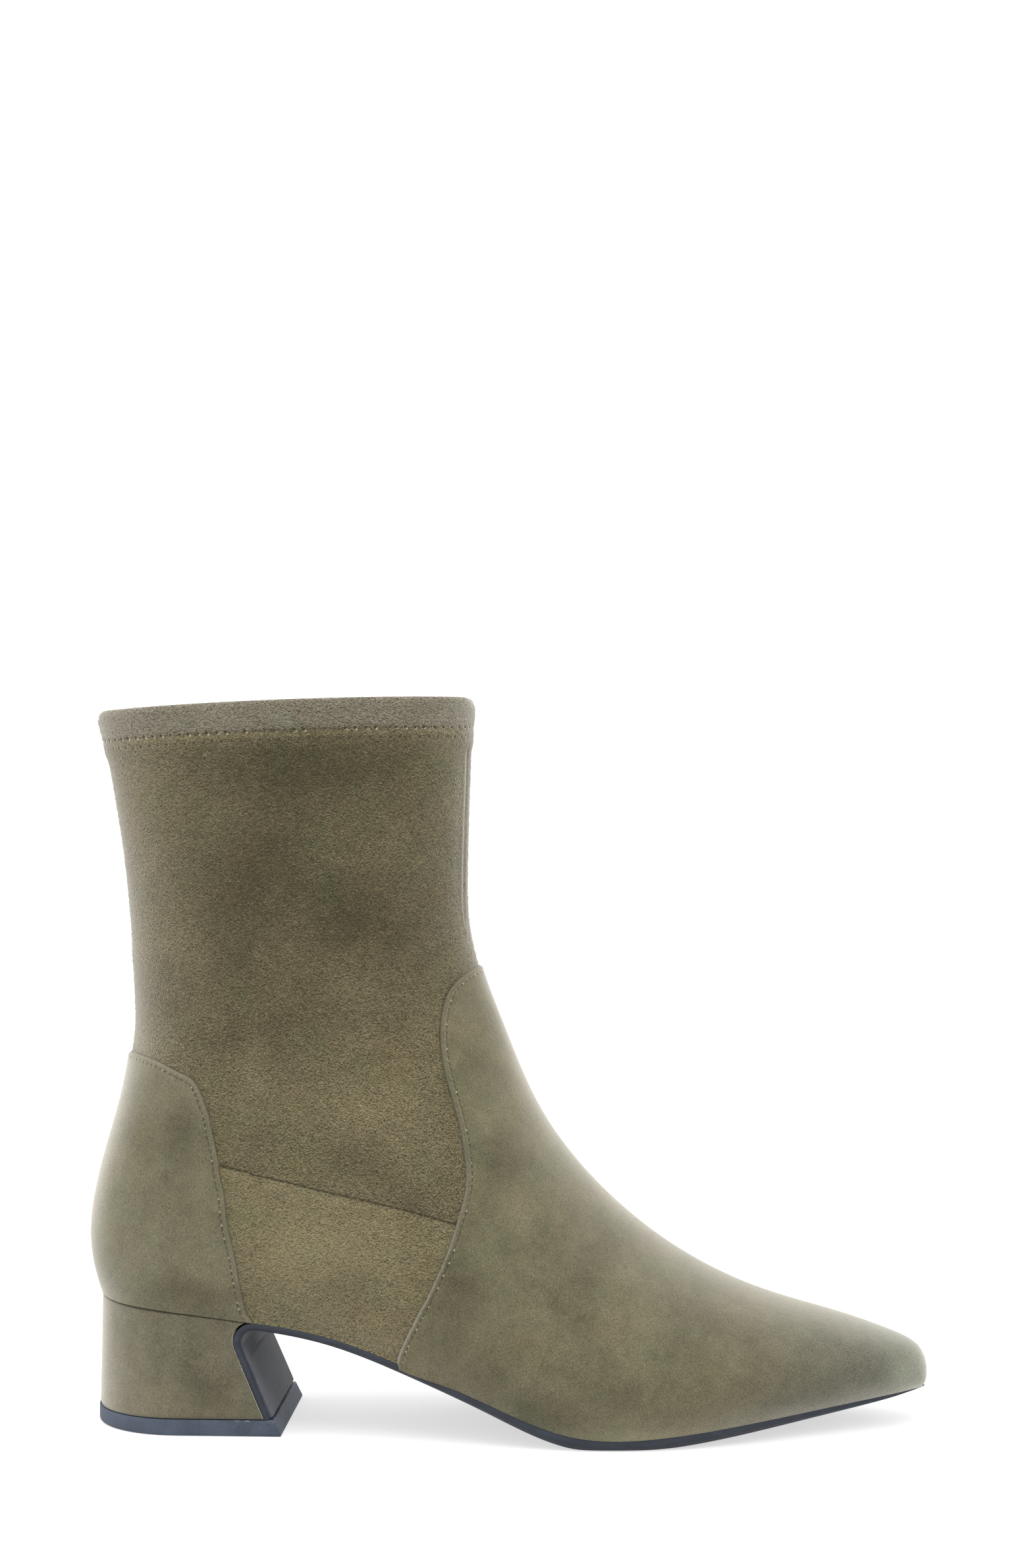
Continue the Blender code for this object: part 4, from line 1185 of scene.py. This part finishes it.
def breast_path():
    """Side view of the sole's back face where it turns down the heel breast: an arc and
    then a straight run to the top lift, with the direction out of that face."""
    bend = np.linspace(BREAST_START, math.pi + BREAST_LEAN, BREAST_ARC_ROWS)
    out = np.stack([np.cos(bend), np.sin(bend)], axis=-1)
    arc = np.array([BREAST_CENTRE_X, BREAST_CENTRE_Z]) + BREAST_RADIUS * out
    fall = arc[-1, 1] - LIFT_TOP
    run = np.linspace(0.0, fall, BREAST_RUN_ROWS + 1)[1:, None]
    straight = arc[-1] + run * np.array([math.tan(BREAST_LEAN), -1.0])
    out = np.vstack([out, np.repeat(out[-1:], BREAST_RUN_ROWS, axis=0)])
    return np.vstack([arc, straight]), out


def above_floor(height):
    """Heights with everything below the floor brought up to it, eased in over a short rise."""
    eased = (height + SOLE_EASE) ** 2 / (4.0 * SOLE_EASE)
    eased = np.where(height < -SOLE_EASE, 0.0, eased)
    return np.where(height > SOLE_EASE, height, eased)


def make_outsole(material):
    """The sole: its edge profile carried along both edges of the last, from the toe to
    the heel and down the breast, with its underside flat on the floor at the ball."""
    path, path_out = breast_path()
    rows = np.linspace(0.0, SEAT_ROW, LINE_FINE)
    last_row = np.interp(-path[0, 0], -column("low_x", rows), rows)
    along = last_row * np.linspace(0.0, 1.0, SOLE_ROWS) ** SOLE_ROW_EASE
    slope = np.gradient(column("low_z", along), column("low_x", along))
    up = np.stack([-slope, np.ones_like(slope)], axis=-1) / np.sqrt(1.0 + slope**2)[:, None]
    thick = column("sole", along)
    margin = SOLE_MARGIN * np.clip(SOLE_TIP_SHARE + along / SOLE_FULL_ROW, 0.0, 1.0)
    share = np.linspace(0.0, 1.0, len(path))
    loop = []
    for side in (-1.0, 1.0):
        edge, out = foot_edge(along, side, margin)
        edge[:, 2] -= PIECE_GAP
        flap_y = edge[-1, 1] + (side * HEEL_FOOT_HALF - edge[-1, 1]) * share
        flap = np.stack([path[:, 0], flap_y, path[:, 1]], axis=-1)
        lines = []
        for depth, inset in SOLE_PROFILE:
            sole = edge.copy()
            sole[:, [0, 2]] -= (depth * thick)[:, None] * up
            half = np.abs(edge[:, 1] - column("mid_y", along))
            reach = half * np.tanh(inset / np.maximum(half, 0.01))
            sole[:, :2] -= reach[:, None] * out
            sole[:, 2] = above_floor(sole[:, 2])
            turned = flap.copy()
            turned[:, [0, 2]] -= depth * FLAP_THICK * path_out
            most = FLAP_ROUND + FLAP_TOP_INSET * (1.0 - share) ** 2
            turned[:, 1] -= side * np.minimum(inset, most)
            lines.append(np.vstack([sole, turned[1:]]))
        loop += lines if side < 0 else lines[::-1]
    loft("sole", np.stack(loop, axis=1), material, "outsole", SOLE_SHARP)


def breast_x(height):
    """Front of the heel block at a height: just behind the sole's turned-down flap."""
    reach = BREAST_RADIUS + PIECE_GAP
    arc_end = BREAST_CENTRE_Z - reach * math.sin(BREAST_LEAN)
    over = np.sqrt(np.maximum(reach**2 - (height - BREAST_CENTRE_Z) ** 2, 0.0))
    end_x = BREAST_CENTRE_X - reach * math.cos(BREAST_LEAN)
    straight = end_x + (arc_end - height) * math.tan(BREAST_LEAN)
    return np.where(height > arc_end, BREAST_CENTRE_X - over, straight)


def round_back(front_x, back_x, reach):
    """Places from front to back along one side of a heel: even steps, then a quarter round.
    Gives x and the share of the half-width there."""
    centre = back_x + reach
    steps = np.linspace(0.0, 1.0, HEEL_STRAIGHT_ROWS, endpoint=False)
    turn = np.linspace(0.0, math.pi / 2.0, HEEL_ROUND_ROWS)
    x = np.concatenate([front_x + (centre - front_x) * steps, centre - reach * np.sin(turn)])
    return x, np.concatenate([np.ones_like(steps), np.cos(turn)])


def rounded_edge(distance, radius):
    """How far a surface is set in at a distance from an edge rounded by this radius."""
    past = np.clip(1.0 - distance / radius, 0.0, 1.0)
    return radius * (1.0 - np.sqrt(1.0 - past**2))


def make_heel(material):
    """The covered heel block: loops from the heel seat down to the top lift, each set in
    a little at the very top and foot, with its front hollowed for the flap."""
    seat_rows = np.linspace(0.0, SEAT_ROW, 4 * LINE_FINE)
    seat_x = -column("low_x", seat_rows)
    seat_z = column("low_z", seat_rows)
    foot = LIFT_TOP + PIECE_GAP
    seat_back = SECTIONS[int(SEAT_ROW)][0] - SOLE_MARGIN
    tip_z = np.interp(-BREAST_CENTRE_X, seat_x, seat_z) - PIECE_GAP
    loops = []
    below_seat = []
    for level in np.linspace(0.0, 1.0, HEEL_LEVELS) ** HEEL_LEVEL_EASE:
        front = breast_x(tip_z + (foot - tip_z) * level)
        back = seat_back + (HEEL_FOOT_BACK - seat_back) * level
        x, share = round_back(front, back, HEEL_ROUND + SOLE_MARGIN)
        row = np.interp(-x, seat_x, seat_rows)
        top = np.interp(-x, seat_x, seat_z) - PIECE_GAP
        z = top + (foot - top) * level
        set_in = rounded_edge(top - z, HEEL_TOP_ROUND) + rounded_edge(z - foot, HEEL_FOOT_ROUND)
        sides = []
        for side, name in ((-1.0, "foot_out"), (1.0, "foot_in")):
            half = column(name, row) + SOLE_MARGIN + side * column("mid_y", row)
            half = half + (HEEL_FOOT_HALF - half) * level - set_in
            sides.append(np.stack([x + set_in * (1.0 - share), side * half * share, z], axis=-1))
        loops.append(np.vstack([sides[0], sides[1][::-1]]))
        below_seat.append(np.concatenate([top - z, (top - z)[::-1]]))
    loops = np.array(loops)
    below_seat = np.array(below_seat)
    heel = np.stack([below_seat, np.zeros_like(below_seat), brushed_and_painted_light(loops)], axis=-1)
    loft("heel_cover", loops, material, "heel_block", HEEL_SHARP, {"heel": heel})


def make_lift(material):
    """The top lift: a D with a leaning front, its edges eased at the top and the floor."""
    loops = []
    for z, set_in in LIFT_PROFILE:
        front = LIFT_FRONT_LOW + (LIFT_FRONT_TOP - LIFT_FRONT_LOW) * z / LIFT_TOP - set_in
        x, share = round_back(front, LIFT_BACK + set_in, HEEL_ROUND + SOLE_MARGIN)
        side = np.stack([x, -(LIFT_HALF - set_in) * share, np.full_like(x, z)], axis=-1)
        loops.append(np.vstack([side, side[::-1] * (1.0, -1.0, 1.0)]))
    loft("lift", np.array(loops), material, "top_lift", LIFT_SHARP)


# The studio

def add_floor():
    """A wide level sheet under the boot."""
    side = np.array([-FLOOR_HALF, FLOOR_HALF])
    x, y = np.meshgrid(side, side)
    mesh = bpy.data.meshes.new("studio_floor")
    points = np.stack([x, y, np.zeros_like(x)], axis=-1).reshape(-1, 3)
    mesh.from_pydata((points * MM).tolist(), [], grid_faces(2, 2).tolist())
    mesh.materials.append(floor_paint())
    floor = show("studio_floor", mesh)


def add_light(name, place, size, power):
    """A soft square light that looks at the boot."""
    data = bpy.data.lights.new(name, "AREA")
    data.size = size
    data.energy = power
    light = show(name, data)
    light.location = place
    aim = np.array(LIGHT_TARGET) - np.array(place)
    light.rotation_euler = (
        math.acos(-aim[2] / np.linalg.norm(aim)), 0.0, math.atan2(aim[1], aim[0]) - math.pi / 2.0
    )


def add_studio():
    """White surroundings, a large light above and weaker ones at the sides."""
    scene = bpy.context.scene
    scene.view_settings.view_transform = "Standard"
    world = bpy.data.worlds.new("studio")
    world.use_nodes = True
    background = world.node_tree.nodes["Background"]
    background.inputs["Color"].default_value = WHITE
    background.inputs["Strength"].default_value = SURROUND
    scene.world = world
    for light in LIGHTS:
        add_light(*light)


def add_camera():
    """The photograph's view: level, from the outer side, turned a little to the toe."""
    data = bpy.data.cameras.new("view")
    data.lens = CAMERA_LENS
    data.sensor_width = CAMERA_SENSOR
    camera = show("view", data)
    camera.location = (
        CAMERA_DISTANCE * math.sin(CAMERA_AZIMUTH) + CAMERA_CENTRE_X,
        -CAMERA_DISTANCE * math.cos(CAMERA_AZIMUTH),
        CAMERA_HEIGHT,
    )
    camera.rotation_euler = (math.pi / 2.0, 0.0, CAMERA_AZIMUTH)
    bpy.context.scene.camera = camera


shaft_sheet = make_upper(stretch_suede())
make_vamp(sewn_suede("vamp_suede", VAMP_LEVEL, VAMP_TINT))
make_counter(sewn_suede("counter_suede", COUNTER_LEVEL, COUNTER_TINT))
make_nap(shaft_sheet, nap_fibres())
make_lining(lining_cloth())
make_outsole(sole_rubber())
make_heel(heel_suede())
make_lift(lift_rubber())
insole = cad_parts["insole"].data
insole.materials.clear()
insole.materials.append(insole_cover())
add_floor()
add_studio()
add_camera()
